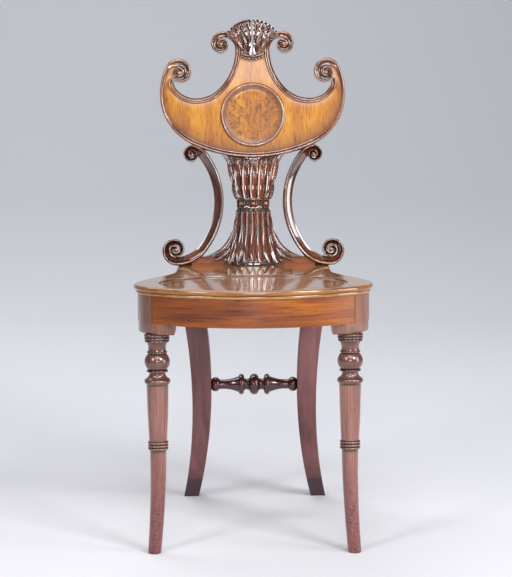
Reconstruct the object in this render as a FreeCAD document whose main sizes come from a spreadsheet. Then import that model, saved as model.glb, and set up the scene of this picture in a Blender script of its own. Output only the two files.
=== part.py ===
import FreeCAD, Part
import math
import os
import re
from types import SimpleNamespace

import Sketcher
from FreeCAD import Placement, Rotation, Vector

# Driving dimensions in millimetres and degrees: name, value, what it measures
SIZES = [
    ("overall_depth", 470, "seat front to the heels of the back feet"),
    ("seat_height", 444, "floor to the seat top"),
    ("seat_width", 398, "seat at its widest"),
    ("seat_depth", 405, "seat front to the back edge of the seat"),
    ("seat_widest", 118, "seat front to the widest line"),
    ("seat_corner_radius", 80, "side curve of the oval seat front"),
    ("seat_taper", 25, "angle of the sides behind the widest line"),
    ("tail_width", 276, "straight tail of the seat under the back"),
    ("tail_blend_radius", 120, "hollow curve from the oval into the tail"),
    ("tail_corner_radius", 10, "back corners of the seat"),
    ("nose_thick", 9, "rounded upper nose of the seat edge"),
    ("nose_round", 3.2, "rounding of the nose"),
    ("bead_thick", 5.4, "bead under the nose"),
    ("bead_step", 3.5, "bead set in from the nose"),
    ("bead_round", 2.4, "rounding of the bead"),
    ("dish_wide", 315, "sunk oval, side to side"),
    ("dish_long", 212, "sunk oval, front to back"),
    ("dish_end_radius", 75, "tight ends of the oval"),
    ("dish_margin", 15.5, "seat front to the oval"),
    ("dish_deep", 5, "depth of the sunk oval"),
    ("dish_round", 1.5, "rounding of the oval's upper edge"),
    ("rail_inset", 7, "frame face behind the seat edge"),
    ("rail_thick", 22, "thickness of the frame rails"),
    ("rail_tall", 46.6, "height of the frame rails"),
    ("lap_thick", 12, "front rail where it laps the leg block"),
    ("lap_reach", 6.5, "lap past the axis of the leg"),
    ("tenon_thick", 9, "rail tenons"),
    ("tenon_long", 14, "rail tenons, into the leg"),
    ("tenon_shoulder", 7, "rail left above and below a tenon"),
    ("tenon_set_in", 5, "front tenon towards the inside of the rail"),
    ("joint_gap", 0.1, "glue line in every fitted joint"),
    ("leg_set_in", 40.5, "front leg axis from the widest line of the seat"),
    ("leg_set_back", 74, "front leg axis behind the seat front"),
    ("block_inner", 30.5, "leg axis to the inner face of its block"),
    ("block_front", 24, "leg axis to the front face of its block"),
    ("block_back", 28, "leg axis to the back face of its block"),
    ("block_drop", 13.7, "block below the rail"),
    ("ring_dia", 43, "pair of rings under the block"),
    ("ring_root_dia", 37, "between those rings"),
    ("ring_tall", 6.5, "each ring"),
    ("neck_ring_dia", 34, "small ring above the neck"),
    ("neck_ring_tall", 5.8, "small ring above the neck"),
    ("neck_dia", 28.5, "neck above the bulb"),
    ("neck_tall", 10.5, "neck above the bulb"),
    ("fillet_dia", 31, "flat band on the bulb"),
    ("fillet_tall", 4, "flat band on the bulb"),
    ("bulb_dia", 42, "bulb"),
    ("bulb_tall", 28, "bulb"),
    ("quirk_dia", 34, "thin disc under the bulb"),
    ("quirk_tall", 3, "thin disc under the bulb"),
    ("cove_tall", 11, "hollow above the big ring"),
    ("cove_hollow", 2.5, "depth of that hollow"),
    ("torus_dia", 42, "big ring at the head of the shaft"),
    ("torus_tall", 10, "big ring at the head of the shaft"),
    ("shaft_top_dia", 36, "shaft below the big ring"),
    ("shaft_low_dia", 29.5, "shaft above the knee"),
    ("shaft_long", 97, "shaft"),
    ("knee_dia", 34, "triple ring at the knee"),
    ("knee_ring_tall", 5, "each ring of the knee"),
    ("shank_dia", 27.5, "shank below the knee"),
    ("foot_dia", 22, "front foot"),
    ("foot_kick_side", 7.5, "foot swept outwards"),
    ("foot_kick_front", 12, "foot swept forwards"),
    ("back_leg_width", 40.5, "back leg at the frame, side to side"),
    ("back_leg_proud", 2, "back leg beyond the side of the frame"),
    ("back_leg_deep", 42, "back leg at the frame, front to back"),
    ("back_leg_bow", 20, "inward bow of the back legs"),
    ("sabre_start", 300, "height where the sabre sweep begins"),
    ("back_foot_width", 27.5, "back foot, side to side"),
    ("back_foot_deep", 28, "back foot, front to back"),
    ("back_foot_spread", 266, "outside of one back foot to the other"),
    ("stretcher_height", 225, "axis of the stretcher"),
    ("stretcher_ring_dia", 39, "rings and middle bulb of the stretcher"),
    ("stretcher_bulb_wide", 17.5, "middle bulb"),
    ("stretcher_drum_dia", 21.5, "drums beside the middle bulb"),
    ("stretcher_drum_long", 13.5, "drums beside the middle bulb"),
    ("stretcher_ring_wide", 7, "sharp rings"),
    ("stretcher_neck_dia", 16, "neck beside each end ball"),
    ("stretcher_ball_dia", 26.5, "end balls"),
    ("stretcher_ball_wide", 16.5, "end balls"),
    ("stretcher_flare", 4, "hollow of the flared lengths"),
    ("stretcher_tenon_dia", 13, "round tenons in the back legs"),
    ("stretcher_tenon_long", 15, "round tenons in the back legs"),
    ("back_rake", 8, "lean of the back"),
    ("back_set_back", 28, "face of the back in front of the seat's back edge"),
    ("panel_thick", 20, "board of the panel"),
    ("panel_width", 337, "over the horns"),
    ("horn_level", 312, "widest line of the panel above the seat"),
    ("horn_radius", 101, "outer curve of the horns"),
    ("panel_low_radius", 260.4, "lower edge of the panel"),
    ("horn_curl", 34.5, "horn curve above its widest line, degrees"),
    ("horn_volute_radius", 21, "scroll at the end of a horn"),
    ("volute_ratio", 0.82, "each quarter of a scroll to the one before"),
    ("edge_inset", 5, "edge bead's line inside the outline"),
    ("edge_bead", 4, "radius of the edge bead"),
    ("edge_sink", 0.8, "bead's line behind the panel face"),
    ("hollow_level", 304.5, "lowest point of the top hollows above the seat"),
    ("hollow_radius", 60, "top hollow towards the neck"),
    ("hollow_horn_radius", 45, "top hollow towards the horn"),
    ("hollow_horn_turn", 62, "sweep of the hollow towards the horn"),
    ("neck_curve_radius", 101, "side of the neck"),
    ("neck_wide", 62, "neck at its narrowest"),
    ("neck_volute_rise", 28, "first quarter of a neck scroll"),
    ("neck_volute_radius", 15, "second quarter of a neck scroll"),
    ("neck_web_tall", 22, "board between the neck scrolls"),
    ("eye_radius", 5, "button at the heart of a scroll"),
    ("roundel_level", 274, "centre of the roundel above the seat"),
    ("roundel_dia", 118, "over the ring"),
    ("roundel_ring_wide", 9.5, "ring moulding"),
    ("roundel_ring_tall", 5.5, "ring moulding, out from the panel"),
    ("roundel_lip_tall", 2, "inner and outer lips of the ring"),
    ("disc_sunk", 1, "disc behind the panel face"),
    ("disc_thick", 4, "veneered disc"),
    ("crest_level", 448, "top of the palmette above the seat"),
    ("crest_reach", 57, "palmette, from its heart to the leaf tips"),
    ("crest_spread", 116, "angle between the outer leaves"),
    ("crest_leaves", 9, "leaves of the palmette"),
    ("crest_leaf_radius", 6.6, "leaf at its tip"),
    ("crest_stalk_radius", 2.6, "leaf at the heart"),
    ("crest_plate_thick", 15, "wood behind the leaves"),
    ("crest_plate_front", 3, "palmette plate before the panel face"),
    ("crest_foot", 11, "palmette below its heart"),
    ("crest_foot_wide", 34, "palmette at its foot"),
    ("scroll_thick", 22, "C-scrolls, front to back"),
    ("scroll_stem", 15, "C-scroll stem"),
    ("scroll_vertex", 53.5, "inner edge of the stem from the centre line"),
    ("scroll_middle", 117, "narrowest height between the scrolls"),
    ("scroll_radius", 147.5, "main curve of a C-scroll"),
    ("scroll_up_turn", 36, "main curve above its middle, degrees"),
    ("scroll_down_turn", 38, "main curve below its middle, degrees"),
    ("scroll_shoulder_radius", 40, "curve into the upper scroll"),
    ("scroll_shoulder_turn", 44, "curve into the upper scroll, degrees"),
    ("scroll_heel_radius", 68, "curve into the lower scroll"),
    ("scroll_upper_radius", 13.5, "upper scroll"),
    ("scroll_lower_radius", 27, "lower scroll"),
    ("scroll_bead", 2.8, "radius of the bead on a C-scroll"),
    ("scroll_bead_inset", 3.6, "bead's line inside the edge of a C-scroll"),
    ("splat_back", 14, "back of the splat behind the panel face"),
    ("reed_valley", 4.5, "grooves between reeds before the panel face"),
    ("reed_round", 0.36, "rise of a reed as a share of its width"),
    ("reed_count", 7, "reeds across the splat"),
    ("collar_level", 112, "tie of the splat above the seat"),
    ("collar_tall", 15, "tie of the splat"),
    ("collar_wide", 58, "tie of the splat"),
    ("collar_front", 7, "tie before the panel face"),
    ("collar_bead", 6.7, "radius of the three beads on the tie"),
    ("collar_pitch", 22, "between those beads"),
    ("cup_low_width", 56, "upper reeds at the tie"),
    ("cup_belly_width", 71, "upper reeds, a third of the way up"),
    ("cup_neck_width", 80, "upper reeds below the lip"),
    ("cup_lip_width", 116, "upper reeds under the panel"),
    ("bell_neck_width", 54, "lower reeds at the tie"),
    ("bell_waist_width", 66, "lower reeds, a third of the way down"),
    ("bell_skirt_width", 94, "lower reeds above the base"),
    ("bell_base_width", 102, "leaf tips on the seat"),
    ("side_leaf_radius", 4.5, "thickness of the side leaves"),
    ("side_leaf_sweep", 46, "curve of the side leaves"),
    ("shoe_tall", 14, "shoe under the splat"),
    ("shoe_deep", 21, "shoe, front to back"),
    ("shoe_set_back", 3, "shoe behind the face of the back"),
    ("shoe_wide", 224, "shoe, side to side"),
    ("dowel_dia", 8, "pegs in the back"),
    ("dowel_below", 40, "lower pegs, below the seat top"),
    ("dowel_above", 30, "lower pegs, above the seat top"),
    ("dowel_bite", 14, "upper pegs, into each piece"),
    ("dowel_set_back", 13, "pegs behind the face of the back"),
    ("splat_dowel_pitch", 30, "between the pegs of the splat"),
    ("scroll_dowel_pitch", 240, "between the lower pegs of the scrolls"),
    ("upper_peg_angle", 21, "scroll pegs round the lower edge of the panel"),
    ("corner_block_long", 36, "glue blocks along the rails"),
    ("corner_block_tall", 30, "glue blocks"),
    ("screw_dia", 4.5, "seat screws"),
    ("screw_head_dia", 9, "seat screws"),
    ("screw_head_tall", 3, "seat screws"),
    ("screw_bite", 6, "seat screws, into the seat"),
]

doc = FreeCAD.newDocument("hall_chair")
sheet = doc.addObject("Spreadsheet::Sheet", "dims")
for row, (alias, value, note) in enumerate(SIZES, start=1):
    sheet.set(f"A{row}", note)
    sheet.set(f"B{row}", str(value))
    sheet.setAlias(f"B{row}", alias)
doc.recompute()
ALIASES = {alias for alias, value, note in SIZES}
d = SimpleNamespace(**{alias: float(sheet.get(alias)) for alias in ALIASES})
nodes = {}

# Levels and places that several pieces share
FRONT = "-overall_depth / 2"
RAIL_TOP = "seat_height - nose_thick - bead_thick"
RAIL_LOW = f"{RAIL_TOP} - rail_tall"
BLOCK_LOW = f"{RAIL_LOW} - block_drop"
LEG_X = "seat_width / 2 - leg_set_in"
LEG_Y = f"{FRONT} + leg_set_back"
BLOCK_X = f"{LEG_X} - block_inner"
BACK_LEG_OUT = "tail_width / 2 - rail_inset + back_leg_proud"
BACK_LEG_IN = f"{BACK_LEG_OUT} - back_leg_width"
BACK_LEG_REAR = f"{FRONT} + seat_depth - rail_inset"
BACK_LEG_FACE = f"{BACK_LEG_REAR} - back_leg_deep"
BACK_Y = f"{FRONT} + seat_depth - back_set_back"
HEEL = "overall_depth / 2"
TENON_Z = (f"{RAIL_LOW} + tenon_shoulder", f"{RAIL_TOP} - tenon_shoulder")
PAST = 5


def bind(text):
    """The expression with each size name pointed at its cell of the sheet."""
    return re.sub(r"[a-z]\w*", lambda word: f"dims.{word[0]}" if word[0] in ALIASES else word[0], str(text))


def number(text):
    """The value of an expression of size names."""
    return float(sheet.evalExpression(bind(text)))


def tie(obj, sizes):
    """Bind properties of an object to expressions."""
    for name, text in sizes.items():
        obj.setExpression(name, bind(text))
    return obj


def keep(name, obj):
    """Make an object the finished sub-part of this name."""
    obj.Label = name
    nodes[name] = obj
    return obj


def box(name, x, y, z):
    """A block between the low and high expressions given along each axis."""
    block = doc.addObject("Part::Box", name)
    for prop, axis, (low, high) in zip(("Length", "Width", "Height"), "xyz", (x, y, z)):
        tie(block, {prop: f"({high}) - ({low})", f"Placement.Base.{axis}": low})
    return block


def cut(name, base, tool):
    obj = doc.addObject("Part::Cut", name)
    obj.Base = base
    obj.Tool = tool
    return obj


def common(name, base, tool):
    obj = doc.addObject("Part::Common", name)
    obj.Base = base
    obj.Tool = tool
    return obj


def fuse(name, shapes):
    obj = doc.addObject("Part::MultiFuse", name)
    obj.Shapes = shapes
    obj.Refine = True
    return obj


def mirror(name, source):
    """The same piece on the other side of the chair."""
    obj = doc.addObject("Part::Mirroring", name)
    obj.Source = source
    obj.Normal = Vector(1, 0, 0)
    return obj


def both_sides(right, name):
    """Keep a right-hand piece and its mirror image, named right_... and left_... or with a prefix."""
    keep(name.format("right"), right)
    keep(name.format("left"), mirror(name.format("left"), right))


# Sketch helpers
def join_loop(sketch, first, joints):
    """Tie each edge's end to the next edge's start at the given meeting points."""
    count = len(joints)
    for index, joint in enumerate(joints):
        ends = []
        for edge in (first + index, first + (index + 1) % count):
            near = min((1, 2), key=lambda pos: sketch.getPoint(edge, pos).distanceToPoint(joint))
            ends += [edge, near]
        sketch.addConstraint(Sketcher.Constraint("Coincident", *ends))


def pin(sketch, edge, spot, x, y):
    """Hold an edge's end at the place that two expressions give."""
    pos = min((1, 2), key=lambda end: sketch.getPoint(edge, end).distanceToPoint(spot))
    for kind, value, text in (("DistanceX", spot.x, x), ("DistanceY", spot.y, y)):
        index = sketch.addConstraint(Sketcher.Constraint(kind, -1, 1, edge, pos, value))
        sketch.setExpression(f"Constraints[{index}]", bind(text))


def draw_loop(sketch, corners, bulges=None):
    """A closed loop through corners given as expressions. Edge i runs from corner i to the next one,
    and bulges[i] is how far it bows to the left of its way."""
    bulges = bulges or {}
    spots = [Vector(number(x), number(y), 0) for x, y in corners]
    for index, start in enumerate(spots):
        end = spots[(index + 1) % len(spots)]
        rise = bulges.get(index, 0)
        if rise:
            way = (end - start).normalize()
            middle = (start + end) * 0.5 + Vector(-way.y, way.x, 0) * rise
            sketch.addGeometry(Part.Arc(start, middle, end))
        else:
            sketch.addGeometry(Part.LineSegment(start, end))
    join_loop(sketch, 0, spots[1:] + spots[:1])
    for index, (spot, (x, y)) in enumerate(zip(spots, corners)):
        pin(sketch, index, spot, x, y)


def body_sketch(body, name, role, lift=None):
    """A sketch on one of the body's own origin planes, lifted off it by an expression."""
    sketch = body.newObject("Sketcher::SketchObject", name)
    plane = next(feature for feature in body.Origin.OriginFeatures if feature.Role == role)
    sketch.AttachmentSupport = [(plane, "")]
    sketch.MapMode = "FlatFace"
    if lift:
        tie(sketch, {"AttachmentOffset.Base.z": lift})
    return sketch


def pad(body, sketch, name, length):
    feature = body.newObject("PartDesign::Pad", name)
    feature.Profile = sketch
    return tie(feature, {"Length": length})


def revolve(body, sketch, name, axis):
    feature = body.newObject("PartDesign::Revolution", name)
    feature.Profile = sketch
    feature.ReferenceAxis = (sketch, [axis])
    feature.Angle = 360
    return feature


def round_edges(body, base, name, radius, wanted):
    """Fillet the edges of a feature that the test picks."""
    doc.recompute()
    picked = [f"Edge{index}" for index, edge in enumerate(base.Shape.Edges, start=1) if wanted(edge)]
    feature = body.newObject("PartDesign::Fillet", name)
    feature.Base = (base, picked)
    return tie(feature, {"Radius": radius})


def draw_seat_outline(sketch, inset):
    """The seat's outline drawn inside its edge: a bowed front, tight sides, straight tapering lengths
    that hollow curves carry into a straight tail, and a straight back edge."""
    gap = number(inset)
    front = number(FRONT)
    side = d.seat_width / 2 - d.seat_corner_radius
    front_text = ("((seat_width / 2 - seat_corner_radius)^2 + seat_widest^2 - seat_corner_radius^2)"
                  " / (2 * (seat_widest - seat_corner_radius))")
    front_radius = number(front_text)
    taper = math.radians(d.seat_taper)
    across = Vector(math.cos(taper), math.sin(taper), 0)
    tail = d.tail_width / 2
    corner = Vector(side, front + d.seat_widest, 0)
    bow = Vector(0, front + front_radius, 0)
    reach = across.dot(corner) + d.seat_corner_radius + d.tail_blend_radius
    blend_x = tail + d.tail_blend_radius
    blend = Vector(blend_x, (reach - across.x * blend_x) / across.y, 0)
    back = front + d.seat_depth - gap
    tail_corner = max(d.tail_corner_radius - gap, 0)

    to_corner = (corner - bow).normalize()
    p1 = bow + to_corner * (front_radius - gap)
    p2 = corner + across * (d.seat_corner_radius - gap)
    p3 = blend - across * (d.tail_blend_radius + gap)
    p4 = Vector(tail - gap, blend.y, 0)
    p5 = Vector(tail - gap, back - tail_corner, 0)
    p6 = Vector(tail - gap - tail_corner, back, 0)
    apex = Vector(0, front + gap, 0)
    bulge = corner + Vector(d.seat_corner_radius - gap, 0, 0)
    into = (across * -1 + Vector(-1, 0, 0)).normalize()
    hollow = blend + into * (d.tail_blend_radius + gap)
    flip = lambda spot: Vector(-spot.x, spot.y, 0)

    right = [("arc", p1, bulge, p2, f"seat_corner_radius - ({inset})"),
             ("line", p2, p3),
             ("arc", p3, hollow, p4, f"tail_blend_radius + ({inset})"),
             ("line", p4, p5)]
    if tail_corner:
        middle = p5 + Vector(-tail_corner, 0, 0) + Vector(1, 1, 0).normalize() * tail_corner
        right.append(("arc", p5, middle, p6, f"tail_corner_radius - ({inset})"))
    left = [(edge[0], *[flip(spot) for spot in reversed(edge[1:4])], *edge[4:]) for edge in reversed(right)]
    edges = [("arc", flip(p1), apex, p1, f"{front_text} - ({inset})")] + right + [("line", p6, flip(p6))] + left
    for edge in edges:
        if edge[0] == "arc":
            sketch.addGeometry(Part.Arc(*edge[1:4]))
        else:
            sketch.addGeometry(Part.LineSegment(*edge[1:3]))
    join_loop(sketch, 0, [edge[3] if edge[0] == "arc" else edge[2] for edge in edges])
    for index, edge in enumerate(edges):
        if edge[0] == "arc":
            spot = sketch.addConstraint(Sketcher.Constraint("Radius", index, sketch.Geometry[index].Radius))
            sketch.setExpression(f"Constraints[{spot}]", bind(edge[4]))


def outline_plate(name, inset, low, high):
    """A slab of the seat's outline between two heights."""
    plan = doc.addObject("Sketcher::SketchObject", f"{name}_plan")
    draw_seat_outline(plan, inset)
    tie(plan, {"Placement.Base.z": low})
    plate = doc.addObject("Part::Extrusion", name)
    plate.Base = plan
    plate.DirMode = "Normal"
    plate.Solid = True
    return tie(plate, {"LengthFwd": f"({high}) - ({low})"})


def upright(name, corners, bulges, turn, base, length):
    """A profile drawn on an upright plane and carried along that plane's normal."""
    sketch = doc.addObject("Sketcher::SketchObject", f"{name}_profile")
    sketch.Placement = Placement(Vector(), turn)
    draw_loop(sketch, corners, bulges)
    tie(sketch, base)
    solid = doc.addObject("Part::Extrusion", name)
    solid.Base = sketch
    solid.DirMode = "Normal"
    solid.Solid = True
    return tie(solid, {"LengthFwd": length})


# Seat board: moulded edge and sunk oval
def seat_board():
    body = doc.addObject("PartDesign::Body", "seat_body")
    top = d.seat_height
    bottom = number(RAIL_TOP)
    upper = body_sketch(body, "nose_plan", "XY_Plane", f"{RAIL_TOP} + bead_thick")
    draw_seat_outline(upper, "0")
    nose = pad(body, upper, "nose_pad", "nose_thick")
    round_edges(body, nose, "nose_round_off", "nose_round", lambda edge: edge.BoundBox.ZLength < 0.01)
    lower = body_sketch(body, "bead_plan", "XY_Plane", RAIL_TOP)
    draw_seat_outline(lower, "bead_step")
    bead = pad(body, lower, "bead_pad", "bead_thick")
    soft = round_edges(body, bead, "bead_round_off", "bead_round",
                       lambda edge: edge.BoundBox.ZMax < bottom + 0.01)
    oval = body_sketch(body, "dish_plan", "XY_Plane", "seat_height")
    draw_oval(oval)
    dish = body.newObject("PartDesign::Pocket", "dish_pocket")
    dish.Profile = oval
    tie(dish, {"Length": "dish_deep"})
    doc.recompute()
    if dish.Shape.Volume >= soft.Shape.Volume:
        raise RuntimeError("the dish cuts nothing")
    round_edges(body, dish, "dish_round_off", "dish_round",
                lambda edge: edge.BoundBox.ZMin > top - 0.01 and on_oval(edge))
    return body


def oval_shape():
    """Half axes, end radius and side radius of the oval dish, and its middle from the origin."""
    half, deep, end = d.dish_wide / 2, d.dish_long / 2, d.dish_end_radius
    side = ((half - end) ** 2 + deep ** 2 - end ** 2) / (2 * (deep - end))
    return half, deep, end, side, number(f"{FRONT} + dish_margin + dish_long / 2")


def on_oval(edge):
    """Whether an edge of the seat top belongs to the dish."""
    half, deep, end, side, middle = oval_shape()
    spot = edge.valueAt(sum(edge.ParameterRange) / 2)
    return (spot.x / (half + 1)) ** 2 + ((spot.y - middle) / (deep + 1)) ** 2 <= 1.05


def draw_oval(sketch):
    """An oval of four tangent arcs."""
    half, deep, end, side, middle = oval_shape()
    across = Vector(half - end, side - deep, 0)
    way = Vector(across.x, across.y, 0).normalize()
    centre = Vector(0, middle, 0)
    meet = centre + Vector(half - end, 0, 0) + way * end
    corners = [Vector(sx * meet.x, middle + sy * (meet.y - middle), 0)
               for sx, sy in ((1, -1), (1, 1), (-1, 1), (-1, -1))]
    crowns = [centre + Vector(half, 0, 0), centre + Vector(0, deep, 0),
              centre - Vector(half, 0, 0), centre - Vector(0, deep, 0)]
    for index in range(4):
        sketch.addGeometry(Part.Arc(corners[index], crowns[index], corners[(index + 1) % 4]))
    join_loop(sketch, 0, corners[1:] + corners[:1])
    side_text = ("((dish_wide / 2 - dish_end_radius)^2 + (dish_long / 2)^2 - dish_end_radius^2)"
                 " / (2 * (dish_long / 2 - dish_end_radius))")
    for index in range(4):
        text = side_text if index % 2 else "dish_end_radius"
        spot = sketch.addConstraint(Sketcher.Constraint("Radius", index, sketch.Geometry[index].Radius))
        sketch.setExpression(f"Constraints[{spot}]", bind(text))


# Seat frame: rails sawn to the seat's plan, lapped and tenoned into the legs
frame_outer = outline_plate("frame_outer", "rail_inset", RAIL_LOW, RAIL_TOP)
frame_inner = outline_plate("frame_inner", "rail_inset + rail_thick", RAIL_LOW, RAIL_TOP)
frame_ring = cut("frame_ring", frame_outer, frame_inner)
lap_inner = outline_plate("lap_inner", "rail_inset + lap_thick", RAIL_LOW, RAIL_TOP)
lap_ring = cut("lap_ring", frame_outer, lap_inner)
LAP_X = f"{LEG_X} + lap_reach"
MID_Y = f"{LEG_Y} + block_back"
RAIL_Z = (RAIL_LOW, RAIL_TOP)
FRONT_Y = (f"{FRONT}", MID_Y)


def front_rail():
    middle = common("front_rail_middle", frame_ring,
                    box("front_rail_span", (f"-({BLOCK_X})", BLOCK_X), FRONT_Y, RAIL_Z))
    ends = common("front_rail_laps", lap_ring,
                  box("front_lap_span", (f"-({LAP_X})", LAP_X), FRONT_Y, RAIL_Z))
    return fuse("front_rail", [middle, ends])


FRONT_TENON_X = "seat_width / 2 - rail_inset - rail_thick / 2 - tenon_set_in"
REAR_TENON_X = "tail_width / 2 - rail_inset - rail_thick / 2"
BACK_TENON_Y = f"{FRONT} + seat_depth - rail_inset - rail_thick / 2"


def grown(span, gap):
    """A span of expressions, wider by a gap at each end."""
    return f"{span[0]} - {gap}", f"{span[1]} + {gap}"


def centred(middle, thick):
    return f"{middle} - {thick} / 2", f"{middle} + {thick} / 2"


def tenon(name, x, y, gap="0"):
    """A rail tenon, or with a gap its mortise."""
    return box(name, grown(x, gap), grown(y, gap), grown(TENON_Z, gap))


FRONT_TENON = (centred(FRONT_TENON_X, "tenon_thick"), (f"{MID_Y} - tenon_long", MID_Y))
REAR_TENON = (centred(REAR_TENON_X, "tenon_thick"), (BACK_LEG_FACE, f"{BACK_LEG_FACE} + tenon_long"))
BACK_TENON = ((BACK_LEG_IN, f"{BACK_LEG_IN} + tenon_long"), centred(BACK_TENON_Y, "tenon_thick"))


def side_rail():
    length = common("side_rail_length", frame_ring,
                    box("side_rail_span", ("0", "seat_width / 2"), (MID_Y, BACK_LEG_FACE), RAIL_Z))
    return fuse("side_rail", [length, tenon("side_front_tenon", *FRONT_TENON),
                              tenon("side_rear_tenon", *REAR_TENON)])


def back_rail():
    length = common("back_rail_length", frame_ring,
                    box("back_rail_span", (f"-({BACK_LEG_IN})", BACK_LEG_IN),
                        (BACK_LEG_FACE, BACK_LEG_REAR), RAIL_Z))
    right = tenon("back_right_tenon", *BACK_TENON)
    return fuse("back_rail_blank", [length, right, mirror("back_left_tenon", right)])


# Front legs: a block under the seat corner, turned members and a swept foot
def turned_members():
    """Corners and bulges of the turned profile from the block down, as radius and height."""
    corners = [("0", BLOCK_LOW)]
    bulges = {}
    level = BLOCK_LOW

    def member(top_dia, low_dia, tall, bulge=0):
        nonlocal level
        if corners[-1] != (f"{top_dia} / 2", level):
            corners.append((f"{top_dia} / 2", level))
        if bulge:
            bulges[len(corners) - 1] = bulge
        level = f"{level} - {tall}"
        corners.append((f"{low_dia} / 2", level))

    for ring in range(2):
        member("ring_root_dia", "ring_root_dia", "ring_tall", number("(ring_dia - ring_root_dia) / 2"))
    member("neck_dia", "neck_dia", "neck_ring_tall", number("(neck_ring_dia - neck_dia) / 2"))
    member("neck_dia", "neck_dia", "neck_tall")
    member("fillet_dia", "fillet_dia", "fillet_tall")
    member("neck_dia", "neck_dia", "bulb_tall", number("(bulb_dia - neck_dia) / 2"))
    member("quirk_dia", "quirk_dia", "quirk_tall")
    member("neck_dia", "shaft_top_dia", "cove_tall", -d.cove_hollow)
    member("shaft_top_dia", "shaft_top_dia", "torus_tall", number("(torus_dia - shaft_top_dia) / 2"))
    member("shaft_top_dia", "shaft_low_dia", "shaft_long")
    for ring in range(3):
        member("shaft_low_dia", "shaft_low_dia", "knee_ring_tall", number("(knee_dia - shaft_low_dia) / 2"))
    corners.append(("0", level))
    return corners, bulges, level


def swept_shank(top):
    """The shank below the knee: circles that shrink and swing out towards the foot."""
    stations = 3
    sections = []
    for index in range(stations + 1):
        share = index / stations
        ring = doc.addObject("Part::Circle", f"shank_ring_{index}")
        tie(ring, {"Radius": f"(shank_dia + (foot_dia - shank_dia) * {share}) / 2",
                   "Placement.Base.x": f"{LEG_X} + foot_kick_side * {share ** 2}",
                   "Placement.Base.y": f"{LEG_Y} - foot_kick_front * {share ** 2}",
                   "Placement.Base.z": f"({top}) * {1 - share}"})
        sections.append(ring)
    loft = doc.addObject("Part::Loft", "shank")
    loft.Sections = sections
    loft.Solid = True
    return loft


def front_leg():
    corners, bulges, knee = turned_members()
    body = doc.addObject("PartDesign::Body", "turning")
    profile = body_sketch(body, "turning_profile", "XZ_Plane")
    draw_loop(profile, corners, {index: rise for index, rise in bulges.items()})
    revolve(body, profile, "turning_spin", "V_Axis")
    tie(body, {"Placement.Base.x": LEG_X, "Placement.Base.y": LEG_Y})

    plan = outline_plate("block_plan", "rail_inset", BLOCK_LOW, RAIL_TOP)
    blank = common("block_blank", plan, box("block_span", (BLOCK_X, "seat_width / 2"),
                                            (f"{LEG_Y} - block_front", MID_Y), (BLOCK_LOW, RAIL_TOP)))
    housing = cut("lap_housing",
                  box("lap_space", ("0", f"{LAP_X} + joint_gap"), (FRONT, f"{MID_Y} + {PAST}"),
                      (f"{RAIL_LOW} - joint_gap", f"{RAIL_TOP} + {PAST}")),
                  outline_plate("lap_seat", "rail_inset + lap_thick + joint_gap",
                                f"{RAIL_LOW} - {PAST}", f"{RAIL_TOP} + {2 * PAST}"))
    mortise = tenon("front_mortise", *FRONT_TENON, "joint_gap")
    block = cut("block", cut("block_lapped", blank, housing), mortise)
    return fuse("front_leg", [block, body, swept_shank(knee)])


# Back legs: sabre profile from the side, bowed profile from the front
SABRE_TOE = f"{HEEL} - back_foot_deep"
TO_FRONT_VIEW = Rotation(Vector(1, 0, 0), 90)
TO_SIDE_VIEW = Rotation(0.5, 0.5, 0.5, 0.5)


def sabre_radius(shift):
    """Radius of an arc that leaves the upright at the start of the sweep and has this much throw."""
    return (d.sabre_start ** 2 + shift ** 2) / (2 * shift)


def sabre_bulge(shift):
    radius = sabre_radius(shift)
    return radius - math.sqrt(radius ** 2 - (d.sabre_start ** 2 + shift ** 2) / 4)


def back_leg_blank():
    throw_front = number(f"{SABRE_TOE} - ({BACK_LEG_FACE})")
    throw_back = number(f"{HEEL} - ({BACK_LEG_REAR})")
    side = upright("back_leg_side",
                   [(BACK_LEG_FACE, RAIL_TOP), (BACK_LEG_FACE, "sabre_start"), (SABRE_TOE, "0"),
                    (HEEL, "0"), (BACK_LEG_REAR, "sabre_start"), (BACK_LEG_REAR, RAIL_TOP)],
                   {1: -sabre_bulge(throw_front), 3: sabre_bulge(throw_back)},
                   TO_SIDE_VIEW, {"Placement.Base.x": "0"}, "seat_width / 2")
    front = upright("back_leg_front",
                    [(BACK_LEG_OUT, RAIL_TOP), (BACK_LEG_OUT, RAIL_LOW), ("back_foot_spread / 2", "0"),
                     ("back_foot_spread / 2 - back_foot_width", "0"), (BACK_LEG_IN, RAIL_LOW),
                     (BACK_LEG_IN, RAIL_TOP)],
                    {1: -d.back_leg_bow, 3: d.back_leg_bow},
                    TO_FRONT_VIEW, {"Placement.Base.y": f"{HEEL} + {PAST}"}, "overall_depth / 2")
    return common("back_leg_blank", side, front)


def stretcher_place():
    """Height, depth and half length of the stretcher between the back legs' inner faces."""
    fall = d.sabre_start - d.stretcher_height
    swing = []
    for shift in (number(f"{SABRE_TOE} - ({BACK_LEG_FACE})"), number(f"{HEEL} - ({BACK_LEG_REAR})")):
        radius = sabre_radius(shift)
        swing.append(radius - math.sqrt(radius ** 2 - max(fall, 0) ** 2))
    middle = (number(BACK_LEG_FACE) + swing[0] + number(BACK_LEG_REAR) + swing[1]) / 2
    foot = Vector(number("back_foot_spread / 2 - back_foot_width"), 0, 0)
    head = Vector(number(BACK_LEG_IN), 0, number(RAIL_LOW))
    way = (head - foot).normalize()
    crown = (foot + head) * 0.5 + Vector(-way.z, 0, way.x) * d.back_leg_bow
    curve = Part.Arc(foot, crown, head).toShape()
    level = Part.makeLine(Vector(0, 0, d.stretcher_height), Vector(d.seat_width, 0, d.stretcher_height))
    inner = curve.distToShape(level)[1][0][0].x
    return middle, inner - d.joint_gap


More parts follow.
